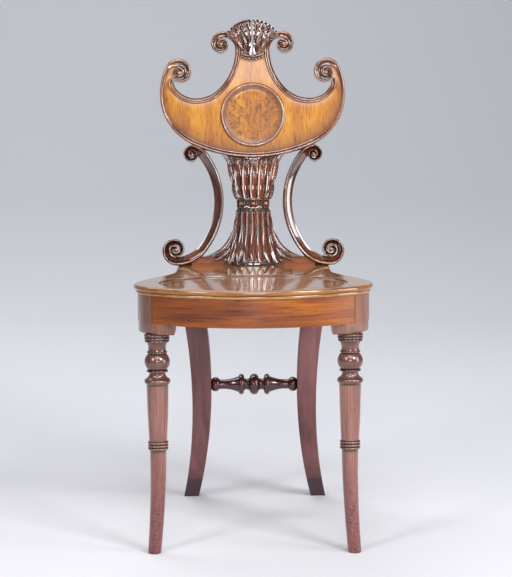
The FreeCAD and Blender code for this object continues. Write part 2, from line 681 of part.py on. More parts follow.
def back_stretcher(middle, half):
    """Turned between centres: end balls, flared lengths, sharp rings, drums and a middle bulb."""
    bulb = "stretcher_bulb_wide / 2"
    ring_in = f"{bulb} + stretcher_drum_long"
    ring_out = f"{ring_in} + stretcher_ring_wide"
    ball = f"{half} - stretcher_ball_wide"
    drum, peak, neck, tail = ("stretcher_drum_dia / 2", "stretcher_ring_dia / 2",
                              "stretcher_neck_dia / 2", "stretcher_tenon_dia / 2")
    right = [(bulb, drum), (ring_in, drum), (f"{ring_in} + stretcher_ring_wide / 3", peak),
             (ring_out, f"{peak} - stretcher_ring_wide / 4"), (ball, neck), (f"{half}", neck),
             (f"{half}", tail), (f"{half} + stretcher_tenon_long", tail),
             (f"{half} + stretcher_tenon_long", "0")]
    left = [(f"-({x})", y) for x, y in reversed(right)]
    corners = left + right
    last = len(left) - 1
    round_ball = number("(stretcher_ball_dia - stretcher_neck_dia) / 2")
    round_bulb = number("(stretcher_ring_dia - stretcher_drum_dia) / 2")
    bulges = {last: round_bulb, last + 4: -d.stretcher_flare, last + 5: round_ball,
              last - 4: -d.stretcher_flare, last - 5: round_ball}
    body = doc.addObject("PartDesign::Body", "stretcher_body")
    profile = body_sketch(body, "stretcher_profile", "XZ_Plane")
    draw_loop(profile, corners, bulges)
    revolve(body, profile, "stretcher_spin", "H_Axis")
    body.Placement.Base = Vector(0, middle, 0)
    return tie(body, {"Placement.Base.z": "stretcher_height"})


# The back is laid out on its own leaning plane: x across, y behind the face, z up the slope
BACK_FRAME = Placement(Vector(0, number(BACK_Y), d.seat_height), Rotation(Vector(-1, 0, 0), d.back_rake))
LEAN = {"Placement.Rotation.Angle": "back_rake"}


def on_back(obj, across="0", behind="0", up="0"):
    """Stand an object on the back's plane at a place given by expressions."""
    obj.Placement = Placement(Vector(), Rotation(Vector(-1, 0, 0), d.back_rake))
    place = {"Placement.Base.x": across,
             "Placement.Base.y": f"{BACK_Y} + ({behind}) * cos(back_rake) + ({up}) * sin(back_rake)",
             "Placement.Base.z": f"seat_height - ({behind}) * sin(back_rake) + ({up}) * cos(back_rake)"}
    return tie(obj, {**place, **LEAN})


def direction(angle):
    return Vector(math.cos(math.radians(angle)), 0, math.sin(math.radians(angle)))


def arc_chain(start, heading, turn, steps):
    """Tangent arcs from a start and heading: steps are (sweep, radius), turn is 1 left or -1 right."""
    arcs = []
    for sweep, radius in steps:
        side = heading + 90 * turn
        centre = start + direction(side) * radius
        first = side + 180
        last = first + turn * sweep
        arcs.append((centre, radius, first, last))
        start = centre + direction(last) * radius
        heading += turn * sweep
    return arcs


def arc_edges(arcs, offset=0):
    """Edges of a chain, drawn further from or nearer to the arcs' centres."""
    edges = []
    for centre, radius, first, last in arcs:
        spots = [centre + direction(angle) * (radius + offset) for angle in (first, (first + last) / 2, last)]
        edges.append(Part.Arc(*spots).toShape())
    return edges


def chain_point(arc, offset=0, at_end=True):
    centre, radius, first, last = arc
    return centre + direction(last if at_end else first) * (radius + offset)


def line(start, end):
    return Part.makeLine(start, end)


def board(edges, front, back):
    """A board sawn to the outline that the edges close, between two depths."""
    face = Part.Face(Part.Wire(Part.__sortEdges__(edges)))
    face.translate(Vector(0, front, 0))
    return face.extrude(Vector(0, back - front, 0))


def volute_boards(arcs, offset, front, back):
    """The wood behind the first turn of a scroll, one sector to each quarter."""
    sectors = []
    for arc in arcs:
        heart = arc[0]
        rim = arc_edges([arc], offset)
        sides = [line(heart, chain_point(arc, offset, False)), line(chain_point(arc, offset), heart)]
        sectors.append(board(rim + sides, front, back))
    return sectors


def bead_along(arcs, offset, radius, depth):
    """A round bead along a chain of arcs, at a depth behind the face."""
    pieces = []
    for centre, reach, first, last in arcs:
        heart = centre + Vector(0, depth, 0)
        start = heart + direction(first) * (reach + offset)
        ring = Part.Face(Part.Wire([Part.Circle(start, direction(first + 90), radius).toShape()]))
        spin = Vector(0, -1 if last > first else 1, 0)
        pieces.append(ring.revolve(heart, spin, abs(last - first)))
    return pieces


def flipped(shape):
    return shape.mirror(Vector(), Vector(1, 0, 0))


def scroll_steps(radius, bead, inset=0):
    """Quarter turns that shrink by the scroll's ratio, for as long as the bead clears its own turns."""
    ratio = d.volute_ratio
    pitch = 1 + ratio - ratio ** 2 - ratio ** 3
    steps = []
    while radius - inset > 1.2 * bead and (len(steps) < 3 or steps[-3][1] * pitch > 2.1 * bead):
        steps.append((90, radius))
        radius *= ratio
    return steps


OUTER_QUARTERS = 4


def panel_low_centre():
    """Centre of the panel's lower edge, tangent inside to both horn curves."""
    side = d.panel_width / 2 - d.horn_radius
    rise = math.sqrt((d.panel_low_radius - d.horn_radius) ** 2 - side ** 2)
    return Vector(0, 0, d.horn_level + rise), math.degrees(math.atan2(side, rise))


LOW_CENTRE, LOW_HALF_ANGLE = panel_low_centre()
PANEL_LOW = LOW_CENTRE.z - d.panel_low_radius


def panel_edges():
    """Bead lines of the right half: the outer edge with its horn scroll, the top hollow with its
    neck scroll, and the short length of the hollow under the horn scroll."""
    inset = d.edge_inset
    outer = arc_chain(Vector(0, 0, PANEL_LOW + inset), 0, 1,
                      [(LOW_HALF_ANGLE, d.panel_low_radius - inset),
                       (90 - LOW_HALF_ANGLE + d.horn_curl, d.horn_radius - inset)]
                      + scroll_steps(d.horn_volute_radius - inset, d.edge_bead))
    hollow, side = d.hollow_radius + inset, d.neck_curve_radius + inset
    slope = 45
    lean = math.radians(slope)
    start = Vector(d.neck_wide / 2 - inset + side * (1 - math.cos(lean)) + hollow * math.sin(lean), 0,
                   d.hollow_level - inset)
    neck = arc_chain(start, 180, -1,
                     [(slope, hollow), (90 - slope, side), (90, d.neck_volute_rise)]
                     + scroll_steps(d.neck_volute_radius, d.edge_bead))
    under = arc_chain(start, 0, 1, [(d.hollow_horn_turn, d.hollow_horn_radius + inset)])
    return outer, neck, under


def back_panel():
    """Shield-shaped board with scrolled horns and neck, and a bead worked along its edges."""
    outer, neck, under = panel_edges()
    inset, thick = d.edge_inset, d.panel_thick
    horn_tip = chain_point(outer[1], inset)
    crevice = chain_point(under[0], -inset)
    neck_side = chain_point(neck[1], -inset)
    curl = outer[2][0]
    right = arc_edges(outer[:2], inset) + [line(horn_tip, curl), line(curl, crevice)]
    right += arc_edges(under, -inset)
    right += arc_edges(neck[:2], -inset)
    left = [flipped(edge) for edge in right]
    top = [line(neck_side, Vector(-neck_side.x, 0, neck_side.z))]
    solid = board(right + left + top, 0, thick)
    web = Part.makeBox(d.neck_wide - 2 * inset, thick, d.neck_web_tall + PAST,
                       Vector(inset - d.neck_wide / 2, 0, neck_side.z - PAST))
    pieces = [web]
    for arcs in (outer[2:2 + OUTER_QUARTERS], neck[2:2 + OUTER_QUARTERS]):
        sectors = volute_boards(arcs, inset, 0, thick)
        pieces += sectors + [flipped(sector) for sector in sectors]
    solid = solid.multiFuse(pieces).removeSplitter()
    beads = bead_along(outer + under + neck, 0, d.edge_bead, d.edge_sink)
    eyes = []
    for arcs in (outer, neck):
        heart = arcs[-1][0] + Vector(0, d.edge_sink, 0)
        eyes += [Part.makeSphere(d.eye_radius, heart), Part.makeSphere(d.eye_radius, flipped_point(heart))]
    solid = solid.multiFuse(beads + [flipped(bead) for bead in beads] + eyes)
    recess = Part.makeCylinder(d.roundel_dia / 2 - d.roundel_ring_wide + d.joint_gap,
                               d.disc_sunk + d.disc_thick + d.joint_gap + PAST,
                               Vector(0, -PAST, d.roundel_level), Vector(0, 1, 0))
    return solid.cut(recess)


def flipped_point(spot):
    return Vector(-spot.x, spot.y, spot.z)


def roundel_ring():
    """Turned ring moulding on the panel face."""
    outside, inside = "roundel_dia / 2", "roundel_dia / 2 - roundel_ring_wide"
    body = doc.addObject("PartDesign::Body", "ring_body")
    profile = body_sketch(body, "ring_profile", "XY_Plane")
    draw_loop(profile, [(inside, "0"), (outside, "0"), (outside, "-roundel_lip_tall"),
                        (inside, "-roundel_lip_tall")], {2: d.roundel_ring_tall - d.roundel_lip_tall})
    revolve(body, profile, "ring_spin", "V_Axis")
    return on_back(body, up="roundel_level")


def roundel_disc():
    """Veneered disc let into the panel."""
    disc = doc.addObject("Part::Cylinder", "disc")
    tie(disc, {"Radius": "roundel_dia / 2 - roundel_ring_wide", "Height": "disc_thick"})
    on_back(disc, behind="disc_sunk + disc_thick", up="roundel_level")
    disc.setExpression("Placement.Rotation.Angle", None)
    disc.Placement.Rotation = Rotation(Vector(1, 0, 0), 90 - d.back_rake)
    return tie(disc, {"Placement.Rotation.Angle": "90 - back_rake"})


def crest_palmette(panel):
    """Fan of rounded leaves on a plate, cut to sit on the neck."""
    heart = Vector(0, -d.crest_plate_front, d.crest_level - d.crest_reach)
    half = d.crest_spread / 2
    rim = d.crest_reach - d.crest_leaf_radius
    tips = [heart + direction(90 + side * half) * rim for side in (-1, 1)]
    feet = [heart + Vector(side * d.crest_foot_wide / 2, 0, -d.crest_foot) for side in (1, -1)]
    edges = [line(feet[1], feet[0]), line(feet[0], tips[0]),
             Part.Arc(tips[0], heart + Vector(0, 0, rim), tips[1]).toShape(), line(tips[1], feet[1])]
    plate = Part.Face(Part.Wire(edges)).extrude(Vector(0, d.crest_plate_thick, 0))
    leaves = []
    for index in range(int(d.crest_leaves)):
        way = direction(90 - half + d.crest_spread * index / (d.crest_leaves - 1))
        leaves.append(Part.makeCone(d.crest_stalk_radius, d.crest_leaf_radius, rim, heart, way))
        leaves.append(Part.makeSphere(d.crest_leaf_radius, heart + way * rim))
    collar = Part.makeCylinder(d.crest_leaf_radius / 2, d.crest_foot_wide, feet[1], Vector(1, 0, 0))
    fan = plate.multiFuse(leaves + [collar]).cut(panel)
    return max(fan.Solids, key=lambda solid: solid.Volume)


def seen_from_back(shape):
    """A copy of a shape in the chair, laid out on the back's own plane."""
    moved = shape.copy()
    moved.Placement = BACK_FRAME.inverse().multiply(shape.Placement)
    return moved


def below_seat():
    """Everything under the seat top, seen from the back's own plane."""
    slab = Part.makeBox(d.seat_width * 2, d.seat_depth * 2, d.seat_height,
                        Vector(-d.seat_width, -d.seat_depth, 0))
    return seen_from_back(slab)


def under_panel():
    """The round lower edge of the panel that splat and scrolls are cut to."""
    return Part.makeCylinder(d.panel_low_radius + d.joint_gap, d.panel_thick + 8 * PAST,
                             LOW_CENTRE - Vector(0, 4 * PAST, 0), Vector(0, 1, 0))


def scroll_edges():
    """Outer edge of the right C-scroll, from its middle up and from its middle down."""
    start = Vector(d.scroll_vertex, 0, d.scroll_middle)
    up = arc_chain(start, 90, -1, [(d.scroll_up_turn, d.scroll_radius),
                                   (d.scroll_shoulder_turn, d.scroll_shoulder_radius)]
                   + scroll_steps(d.scroll_upper_radius, d.scroll_bead, d.scroll_bead_inset))
    down = arc_chain(start, -90, 1, [(d.scroll_down_turn, d.scroll_radius),
                                     (90 - d.scroll_down_turn, d.scroll_heel_radius)]
                     + scroll_steps(d.scroll_lower_radius, d.scroll_bead, d.scroll_bead_inset))
    return up, down


def c_scroll():
    """Carved scroll: a sawn stem that curls in at both ends, with beads worked on its face."""
    up, down = scroll_edges()
    stem, inset = d.scroll_stem, d.scroll_bead_inset
    outline = arc_edges(up[:2]) + arc_edges(down[:2]) + arc_edges(up[:2], -stem) + arc_edges(down[:2], -stem)
    outline += [line(chain_point(arcs[1]), chain_point(arcs[1], -stem)) for arcs in (up, down)]
    solid = board(outline, 0, d.scroll_thick)
    curls = [volute_boards(arcs[2:2 + OUTER_QUARTERS], 0, 0, d.scroll_thick) for arcs in (up, down)]
    solid = solid.multiFuse(curls[0] + curls[1]).removeSplitter()
    beads = bead_along(up + down, -inset, d.scroll_bead, 0)
    beads += bead_along(up[:2] + down[:2], inset - stem, d.scroll_bead, 0)
    eyes = [Part.makeSphere(d.eye_radius * share, arcs[-1][0]) for arcs, share in ((up, 0.7), (down, 1))]
    solid = solid.multiFuse(beads + eyes)
    return solid.cut([below_seat(), under_panel()])


def reed_section(width, level):
    """Outline of the splat at one height: round reeds across the front, flat sides and back."""
    count = int(d.reed_count)
    spots = [-width / 2 + width * index / count for index in range(count + 1)]
    crest = d.reed_valley + d.reed_round * width / count
    at = lambda x, y: Vector(x, y, level)
    edges = [Part.Arc(at(a, -d.reed_valley), at((a + b) / 2, -crest), at(b, -d.reed_valley)).toShape()
             for a, b in zip(spots, spots[1:])]
    right, left = spots[-1], spots[0]
    edges += [line(at(right, -d.reed_valley), at(right, d.splat_back)),
              line(at(right, d.splat_back), at(left, d.splat_back)),
              line(at(left, d.splat_back), at(left, -d.reed_valley))]
    return Part.Wire(edges)


def reeded_splat(shoe):
    """Sheaf of reeds: a cup above its tie, a bell below it, and two leaves swept along the base."""
    tie_low, tie_top = d.collar_level - d.collar_tall / 2, d.collar_level + d.collar_tall / 2
    lip = PANEL_LOW + d.panel_low_radius - math.sqrt(d.panel_low_radius ** 2 - (d.cup_lip_width / 2) ** 2)
    climb = lip + PAST - tie_top
    cup = [(d.cup_low_width, tie_top - 1), (d.cup_belly_width, tie_top + climb * 0.3),
           (d.cup_neck_width, tie_top + climb * 0.7), (d.cup_lip_width, tie_top + climb)]
    drop = tie_low + PAST
    bell = [(d.bell_neck_width, tie_low + 1), (d.bell_waist_width, tie_low - drop * 0.32),
            (d.bell_skirt_width, tie_low - drop * 0.68), (d.bell_base_width, tie_low - drop)]
    lofts = [Part.makeLoft([reed_section(width, level) for width, level in run], True)
             for run in (cup, bell)]
    collar = Part.makeBox(d.collar_wide, d.splat_back + d.collar_front, d.collar_tall,
                          Vector(-d.collar_wide / 2, -d.collar_front, tie_low))
    beads = [Part.makeSphere(d.collar_bead, Vector(side * d.collar_pitch, -d.collar_front, d.collar_level))
             for side in (-1, 0, 1)]
    leaf_top = Vector(d.bell_skirt_width / 2 - 2 * d.side_leaf_radius, 0, d.side_leaf_sweep + d.shoe_tall)
    leaf_path = arc_chain(leaf_top, -86, 1, [(86, d.side_leaf_sweep)])
    leaf = bead_along(leaf_path, 0, d.side_leaf_radius, -d.side_leaf_radius / 2)[0]
    solid = lofts[0].multiFuse([lofts[1], collar, leaf, flipped(leaf)] + beads)
    return solid.cut([below_seat(), under_panel(), shoe])


def back_shoe():
    """Low strip glued to the seat under the splat."""
    return box("shoe_blank", ("-shoe_wide / 2", "shoe_wide / 2"),
               (f"{BACK_Y} + shoe_set_back", f"{BACK_Y} + shoe_set_back + shoe_deep"),
               ("seat_height", "seat_height + shoe_tall"))


def peg(name, gap, across, behind, low, length):
    """A peg up the slope of the back, or with a gap its hole."""
    rod = doc.addObject("Part::Cylinder", name)
    tie(rod, {"Radius": f"dowel_dia / 2 + {gap}", "Height": f"{length} + 2 * {gap}"})
    return on_back(rod, across, behind, f"{low} - {gap}")


def lower_pegs(name, gap, pitch):
    """A pair of pegs from the back down through the seat."""
    return [peg(f"{name}_{side}", gap, f"{sign} * {pitch} / 2", "dowel_set_back", "-dowel_below",
                "dowel_below + dowel_above") for side, sign in (("right", 1), ("left", -1))]


def radial_peg(angle, gap):
    """A peg across the panel's lower edge, square to it, in the back's own plane."""
    way = direction(90 + angle)
    foot = LOW_CENTRE - way * (d.panel_low_radius + d.dowel_bite + gap)
    return Part.makeCylinder(d.dowel_dia / 2 + gap, 2 * (d.dowel_bite + gap),
                             foot + Vector(0, d.panel_thick / 2, 0), way)


def upper_pegs(angles, gap):
    return [radial_peg(angle, gap) for angle in angles]


SPLAT_PEG_ANGLE = math.degrees(math.asin(d.splat_dowel_pitch / 2 / d.panel_low_radius))
SPLAT_ANGLES = (-SPLAT_PEG_ANGLE, SPLAT_PEG_ANGLE)
SCROLL_ANGLES = (-d.upper_peg_angle, d.upper_peg_angle)


def feature(name, shape, placement=BACK_FRAME):
    """A piece whose shape is worked out directly, stood on the back's plane."""
    obj = doc.addObject("Part::Feature", name)
    obj.Shape = shape
    obj.Placement = placement
    return obj


# Corner blocks glued into the frame, each with a screw up into the seat
BLOCK_TOP = RAIL_TOP
BLOCK_BASE = f"{RAIL_TOP} - corner_block_tall"
BACK_BLOCK_Y = f"{FRONT} + seat_depth - rail_inset - rail_thick"


def corner_block(name, x, y, way):
    """A three-cornered block: x and y are its square corner, way is 1 if it spreads to the back."""
    sketch = doc.addObject("Sketcher::SketchObject", f"{name}_plan")
    run = f"{way} * corner_block_long"
    draw_loop(sketch, [(x, y), (x, f"{y} + {run}"), (f"{x} - corner_block_long", y)])
    tie(sketch, {"Placement.Base.z": BLOCK_BASE})
    solid = doc.addObject("Part::Extrusion", name)
    solid.Base = sketch
    solid.DirMode = "Normal"
    solid.Solid = True
    return tie(solid, {"LengthFwd": "corner_block_tall"})


def screw(name, x, y, gap="0"):
    """A countersunk screw from the underside of a block into the seat, or with a gap its hole."""
    reach = "corner_block_tall + screw_bite"
    shank = doc.addObject("Part::Cylinder", f"{name}_shank")
    tie(shank, {"Radius": f"screw_dia / 2 + {gap}", "Height": f"{reach} + {gap}"})
    head = doc.addObject("Part::Cone", f"{name}_head")
    tie(head, {"Radius1": f"screw_head_dia / 2 + {gap}", "Radius2": f"screw_dia / 2 + {gap}",
               "Height": "screw_head_tall"})
    for part in (shank, head):
        tie(part, {"Placement.Base.x": x, "Placement.Base.y": y, "Placement.Base.z": BLOCK_BASE})
    return fuse(name, [shank, head])


def build():
    """Make every piece, fit the joints and keep the finished sub-parts."""
    middle, half = stretcher_place()
    keep("front_rail", front_rail())
    both_sides(side_rail(), "{}_side_rail")
    both_sides(front_leg(), "{}_front_leg")

    hole_pegs = lower_pegs("splat_hole", "joint_gap", "splat_dowel_pitch")
    scroll_holes = lower_pegs("scroll_hole", "joint_gap", "scroll_dowel_pitch")
    stretcher_hole = doc.addObject("Part::Cylinder", "stretcher_hole")
    tie(stretcher_hole, {"Radius": "stretcher_tenon_dia / 2 + joint_gap",
                         "Height": f"{half} + stretcher_tenon_long + joint_gap"})
    stretcher_hole.Placement = Placement(Vector(0, middle, d.stretcher_height), Rotation(Vector(0, 1, 0), 90))
    mortises = fuse("back_leg_mortises", [tenon("rear_mortise", *REAR_TENON, "joint_gap"),
                                          tenon("back_mortise", *BACK_TENON, "joint_gap"),
                                          stretcher_hole, scroll_holes[0]])
    both_sides(cut("back_leg", back_leg_blank(), mortises), "{}_back_leg")
    keep("back_stretcher", back_stretcher(middle, half))
    keep("back_rail", cut("back_rail", back_rail(), fuse("splat_holes", hole_pegs)))

    blocks = {"front": (BLOCK_X, f"{LEG_Y} - block_front", 1, 0.25, 0.45),
              "back": (BACK_LEG_IN, BACK_BLOCK_Y, -1, 0.3, 0.3)}
    screws = []
    holes = []
    for place, (x, y, way, share_x, share_y) in blocks.items():
        spot = (f"{x} - corner_block_long * {share_x}", f"{y} + {way} * corner_block_long * {share_y}")
        driven = screw(f"{place}_screw", *spot)
        hole = screw(f"{place}_screw_hole", *spot, "joint_gap")
        screws += [driven, mirror(f"{place}_left_screw", driven)]
        holes += [hole, mirror(f"{place}_left_hole", hole)]
        blank = corner_block(f"{place}_block", x, y, way)
        tools = fuse(f"{place}_block_tools", [frame_ring, hole])
        both_sides(cut(f"{place}_block_cut", blank, tools), place + "_{}_corner_block")
    group = doc.addObject("Part::Compound", "seat_screw_group")
    group.Links = screws
    keep("seat_screws", group)

    body = seat_board()
    keep("seat_board", cut("seat_board", body, fuse("seat_holes", hole_pegs + scroll_holes + holes)))

    doc.recompute()
    shoe = back_shoe()
    doc.recompute()
    shoe_local = seen_from_back(shoe.Shape)
    splat_holes = [seen_from_back(hole.Shape) for hole in hole_pegs]
    panel = back_panel().cut(upper_pegs(SPLAT_ANGLES + SCROLL_ANGLES, d.joint_gap))
    keep("back_panel", feature("panel", panel))
    keep("roundel_ring", roundel_ring())
    keep("roundel_disc", roundel_disc())
    keep("crest_palmette", feature("palmette", crest_palmette(panel)))
    scroll = c_scroll().cut([seen_from_back(scroll_holes[0].Shape), radial_peg(d.upper_peg_angle, d.joint_gap)])
    both_sides(feature("scroll", scroll), "{}_c_scroll")
    splat = reeded_splat(shoe_local).cut(splat_holes + upper_pegs(SPLAT_ANGLES, d.joint_gap))
    keep("reeded_splat", feature("splat", splat))
    scrolls = [scroll, flipped(scroll)]
    keep("back_shoe", feature("shoe", shoe_local.cut(scrolls + splat_holes)))
    for name, pitch, angles in (("splat_dowels", "splat_dowel_pitch", SPLAT_ANGLES),
                                ("scroll_dowels", "scroll_dowel_pitch", SCROLL_ANGLES)):
        pegs = lower_pegs(name, "0", pitch)
        pegs += [feature(f"{name}_upper_{index}", rod) for index, rod in enumerate(upper_pegs(angles, 0))]
        group = doc.addObject("Part::Compound", f"{name}_group")
        group.Links = pegs
        keep(name, group)
    doc.recompute()


def write_parts():
    """Check every object and write each sub-part."""
    for obj in doc.Objects:
        if {"Invalid", "Error"} & set(obj.State):
            raise RuntimeError(f"{obj.Name} failed: {obj.State}")
    for name, obj in nodes.items():
        if obj.Shape.isNull() or not obj.Shape.isValid() or not obj.Shape.Solids:
            raise RuntimeError(f"{name} has no valid shape")
    os.makedirs("parts", exist_ok=True)
    for name, obj in nodes.items():
        obj.Shape.exportStep(f"parts/{name}.step")


build()
write_parts()
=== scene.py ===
import math

import bmesh
import bpy
import numpy as np
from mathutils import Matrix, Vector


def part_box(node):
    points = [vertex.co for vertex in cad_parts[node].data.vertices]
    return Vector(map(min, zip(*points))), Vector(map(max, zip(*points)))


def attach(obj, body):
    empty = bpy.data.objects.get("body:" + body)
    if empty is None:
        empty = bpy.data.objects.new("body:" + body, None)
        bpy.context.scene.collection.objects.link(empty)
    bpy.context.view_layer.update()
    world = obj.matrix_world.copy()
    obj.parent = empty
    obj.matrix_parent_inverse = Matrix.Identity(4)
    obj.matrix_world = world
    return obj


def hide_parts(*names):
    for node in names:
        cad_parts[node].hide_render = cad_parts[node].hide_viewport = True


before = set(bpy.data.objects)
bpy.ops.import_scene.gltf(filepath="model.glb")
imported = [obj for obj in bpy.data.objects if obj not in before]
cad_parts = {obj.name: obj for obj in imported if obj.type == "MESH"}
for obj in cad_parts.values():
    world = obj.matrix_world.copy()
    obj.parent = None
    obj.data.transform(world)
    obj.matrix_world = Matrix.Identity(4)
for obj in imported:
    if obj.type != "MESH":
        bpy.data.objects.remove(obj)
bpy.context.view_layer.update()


# Back legs
# Two sabre legs sawn from solid mahogany, square in section with their arrises rubbed round.
# They sweep back and bow to the feet, and the side and back rails are tenoned into their heads.
# Sizes here and below are in millimetres, and a mesh is turned to metres when it is made.
MILLIMETRE = 0.001
WELD = 1e-6
CREASE = math.radians(38)


def corners(node):
    """Lowest and highest corner of a CAD node, in millimetres."""
    low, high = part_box(node)
    return np.array(low) / MILLIMETRE, np.array(high) / MILLIMETRE


def points_of(x, y, z):
    """Points on a grid from three coordinates, each given over all of it, along one way of it or once."""
    return np.stack(np.broadcast_arrays(x, y, z), axis=-1)


def skin(sections, looped=False, hollow=0):
    """Closes a run of ring-shaped sections into a skin: quads join each section to the next. A looped
    run joins its last section to its first; an open run ends in fans to the middle of its end sections.
    Faces turn outwards by the sign of the volume, the sum of a.(b x c) over the triangles."""
    points = np.asarray(sections, float)
    depth = np.broadcast_to(hollow, points.shape[:2])
    if not looped:
        ends = np.repeat(points[[0, -1]].mean(axis=1, keepdims=True), points.shape[1], axis=1)
        points = np.concatenate([ends[:1], points, ends[1:]])
        depth = np.concatenate([depth[:1], depth, depth[-1:]])
    index = np.arange(points.shape[0] * points.shape[1]).reshape(points.shape[:2])
    index = np.concatenate([index, index[:, :1]], axis=1)
    if looped:
        index = np.concatenate([index, index[:1]])
    quads = np.stack([index[:-1, :-1], index[1:, :-1], index[1:, 1:], index[:-1, 1:]], axis=-1)
    quads = quads.reshape(-1, 4)
    flat = points.reshape(-1, 3)
    a, b, c, d = np.moveaxis((flat - flat.mean(axis=0))[quads], 1, 0)
    volume = np.sum(a * (np.cross(b, c) + np.cross(c, d)))
    if volume < 0:
        quads = quads[:, ::-1]
    return flat, quads, depth.reshape(-1)


def make_piece(name, skins, material):
    """One mesh from several skins. Each point keeps its share of painted shade, with old wax in the carving,
    from 0 to 1.
    """
    points, quads, depths = zip(*skins)
    first = np.cumsum([0] + [len(flat) for flat in points])
    points = np.concatenate(points) * MILLIMETRE
    quads = np.concatenate([faces + start for faces, start in zip(quads, first)])
    mesh = bpy.data.meshes.new(name)
    mesh.vertices.add(len(points))
    mesh.vertices.foreach_set("co", points.ravel())
    mesh.loops.add(quads.size)
    mesh.loops.foreach_set("vertex_index", quads.ravel())
    mesh.polygons.add(len(quads))
    mesh.polygons.foreach_set("loop_start", np.arange(0, quads.size, 4))
    mesh.update(calc_edges=True)
    layer = mesh.attributes.new("hollow", "FLOAT", "POINT")
    layer.data.foreach_set("value", np.concatenate(depths).astype(np.float32))
    weld = bmesh.new()
    weld.from_mesh(mesh)
    bmesh.ops.remove_doubles(weld, verts=weld.verts, dist=WELD)
    weld.to_mesh(mesh)
    weld.free()
    mesh.shade_smooth()
    mesh.set_sharp_from_angle(angle=CREASE)
    mesh.materials.append(material)
    piece = bpy.data.objects.new(name, mesh)
    bpy.context.scene.collection.objects.link(piece)
    return piece


def colour(code):
    """An sRGB hex value as a linear colour with alpha."""
    share = np.array([int(code[at:at + 2], 16) for at in (1, 3, 5)]) / 255
    linear = np.where(share <= 0.04045, share / 12.92, ((share + 0.055) / 1.055) ** 2.4)
    return (*linear.tolist(), 1.0)


def add(tree, kind, inputs=None, stops=None, **settings):
    """Adds a node with its settings, its ramp's stops, and a value or a link for each input. A link comes
    from a socket, or from a node's first output."""
    node = tree.nodes.new(kind)
    for name, value in settings.items():
        setattr(node, name, value)
    for socket, source in (inputs or {}).items():
        if isinstance(source, bpy.types.Node):
            source = source.outputs[0]
        if isinstance(source, bpy.types.NodeSocket):
            tree.links.new(source, node.inputs[socket])
        else:
            node.inputs[socket].default_value = source
    if stops:
        ramp = node.color_ramp.elements
        for at in range(len(stops) - len(ramp)):
            ramp.new(1)
        for element, (place, code) in zip(ramp, stops):
            element.position = place
            element.color = colour(code)
    return node


X_AXIS, Y_AXIS, Z_AXIS = range(3)


def grain_scale(width, length, axis):
    """Scale of a pattern that is drawn out along one axis, from its width and length in millimetres."""
    sizes = [width, width, width]
    sizes[axis] = length
    return [1 / (size * MILLIMETRE) for size in sizes]


def mahogany(name, shades, grain, polish, coat=0.5, coat_polish=0.1, hollows="#1d0f0c", pore_depth=0.45,
             streaky=0.42, bowed=None, coat_ior=1.5):
    """French-polished mahogany: broad bands of colour drawn out along the grain, finer streaks, short dark
    pores that stay open under the polish, and a dark colour laid on by each point's hollow share: painted
    shade in hollows, creases and recesses, with old wax in the carving's hollows. On a face bowed about a
    middle at a reach, the grain's coordinates are the arc about that middle and the height."""
    material = bpy.data.materials.new(name)
    material.use_nodes = True
    tree = material.node_tree
    tree.nodes.clear()
    place = add(tree, "ShaderNodeTexCoord").outputs["Object"]
    if bowed:
        bow_middle, bow_reach = bowed
        x, y, z = add(tree, "ShaderNodeSeparateXYZ", {0: place}).outputs
        ahead = add(tree, "ShaderNodeMath", {0: bow_middle * MILLIMETRE, 1: y}, operation="SUBTRACT")
        angle = add(tree, "ShaderNodeMath", {0: x, 1: ahead}, operation="ARCTAN2")
        along = add(tree, "ShaderNodeMath", {0: angle, 1: bow_reach * MILLIMETRE}, operation="MULTIPLY")
        place = add(tree, "ShaderNodeCombineXYZ", {0: along, 2: z})
    # Width, length and detail of the bands, the streaks and the pores. Pores are about 0.3 by 4 mm on the
    # wood and are drawn three times that size, so that they show
    noises = []
    for width, length, detail in ((34, 300, 3), (3, 90, 4), (0.9, 13, 2)):
        drawn = add(tree, "ShaderNodeMapping",
                    {"Vector": place, "Scale": grain_scale(width, length, grain)})
        noises.append(add(tree, "ShaderNodeTexNoise",
                          {"Vector": drawn, "Scale": 1, "Detail": detail, "Distortion": 0.4}))
    bands, streaks, pores = noises
    tone = add(tree, "ShaderNodeMix", {0: streaky, 2: bands, 3: streaks}, data_type="FLOAT")
    dark, middle, light = shades
    wood = add(tree, "ShaderNodeValToRGB", {"Fac": tone}, [(0.33, dark), (0.5, middle), (0.66, light)])
    # Polish lets less light back out of the wood, so it looks deeper and fuller than bare wood
    wood = add(tree, "ShaderNodeHueSaturation", {"Color": wood, "Value": 0.66, "Saturation": 1.1})
    open_pores = add(tree, "ShaderNodeMapRange", {"Value": pores, "From Min": 0.56, "From Max": 0.72,
                                                  "To Max": pore_depth})
    pored = add(tree, "ShaderNodeMix", {0: open_pores, 6: wood, 7: colour(hollows)}, data_type="RGBA")
    # Painted shade, with old wax in the carving, by each point's hollow share
    deep = add(tree, "ShaderNodeAttribute", attribute_name="hollow").outputs["Fac"]
    darkened = add(tree, "ShaderNodeMix", {0: deep, 6: pored.outputs[2], 7: colour(hollows)}, data_type="RGBA")
    sheen = add(tree, "ShaderNodeMapRange", {"Value": streaks, "From Min": 0.3, "From Max": 0.7,
                                             "To Min": polish - 0.06, "To Max": polish + 0.08})
    relief = add(tree, "ShaderNodeMath", {0: streaks, 1: pores}, operation="SUBTRACT")
    bump = add(tree, "ShaderNodeBump", {"Height": relief, "Strength": 0.25, "Distance": 0.3 * MILLIMETRE})
    shader = add(tree, "ShaderNodeBsdfPrincipled",
                 {"Base Color": darkened.outputs[2], "Roughness": sheen, "Normal": bump, "IOR": 1.5,
                  "Coat Weight": coat, "Coat Roughness": coat_polish, "Coat IOR": coat_ior})
    add(tree, "ShaderNodeOutputMaterial", {"Surface": shader})
    return material


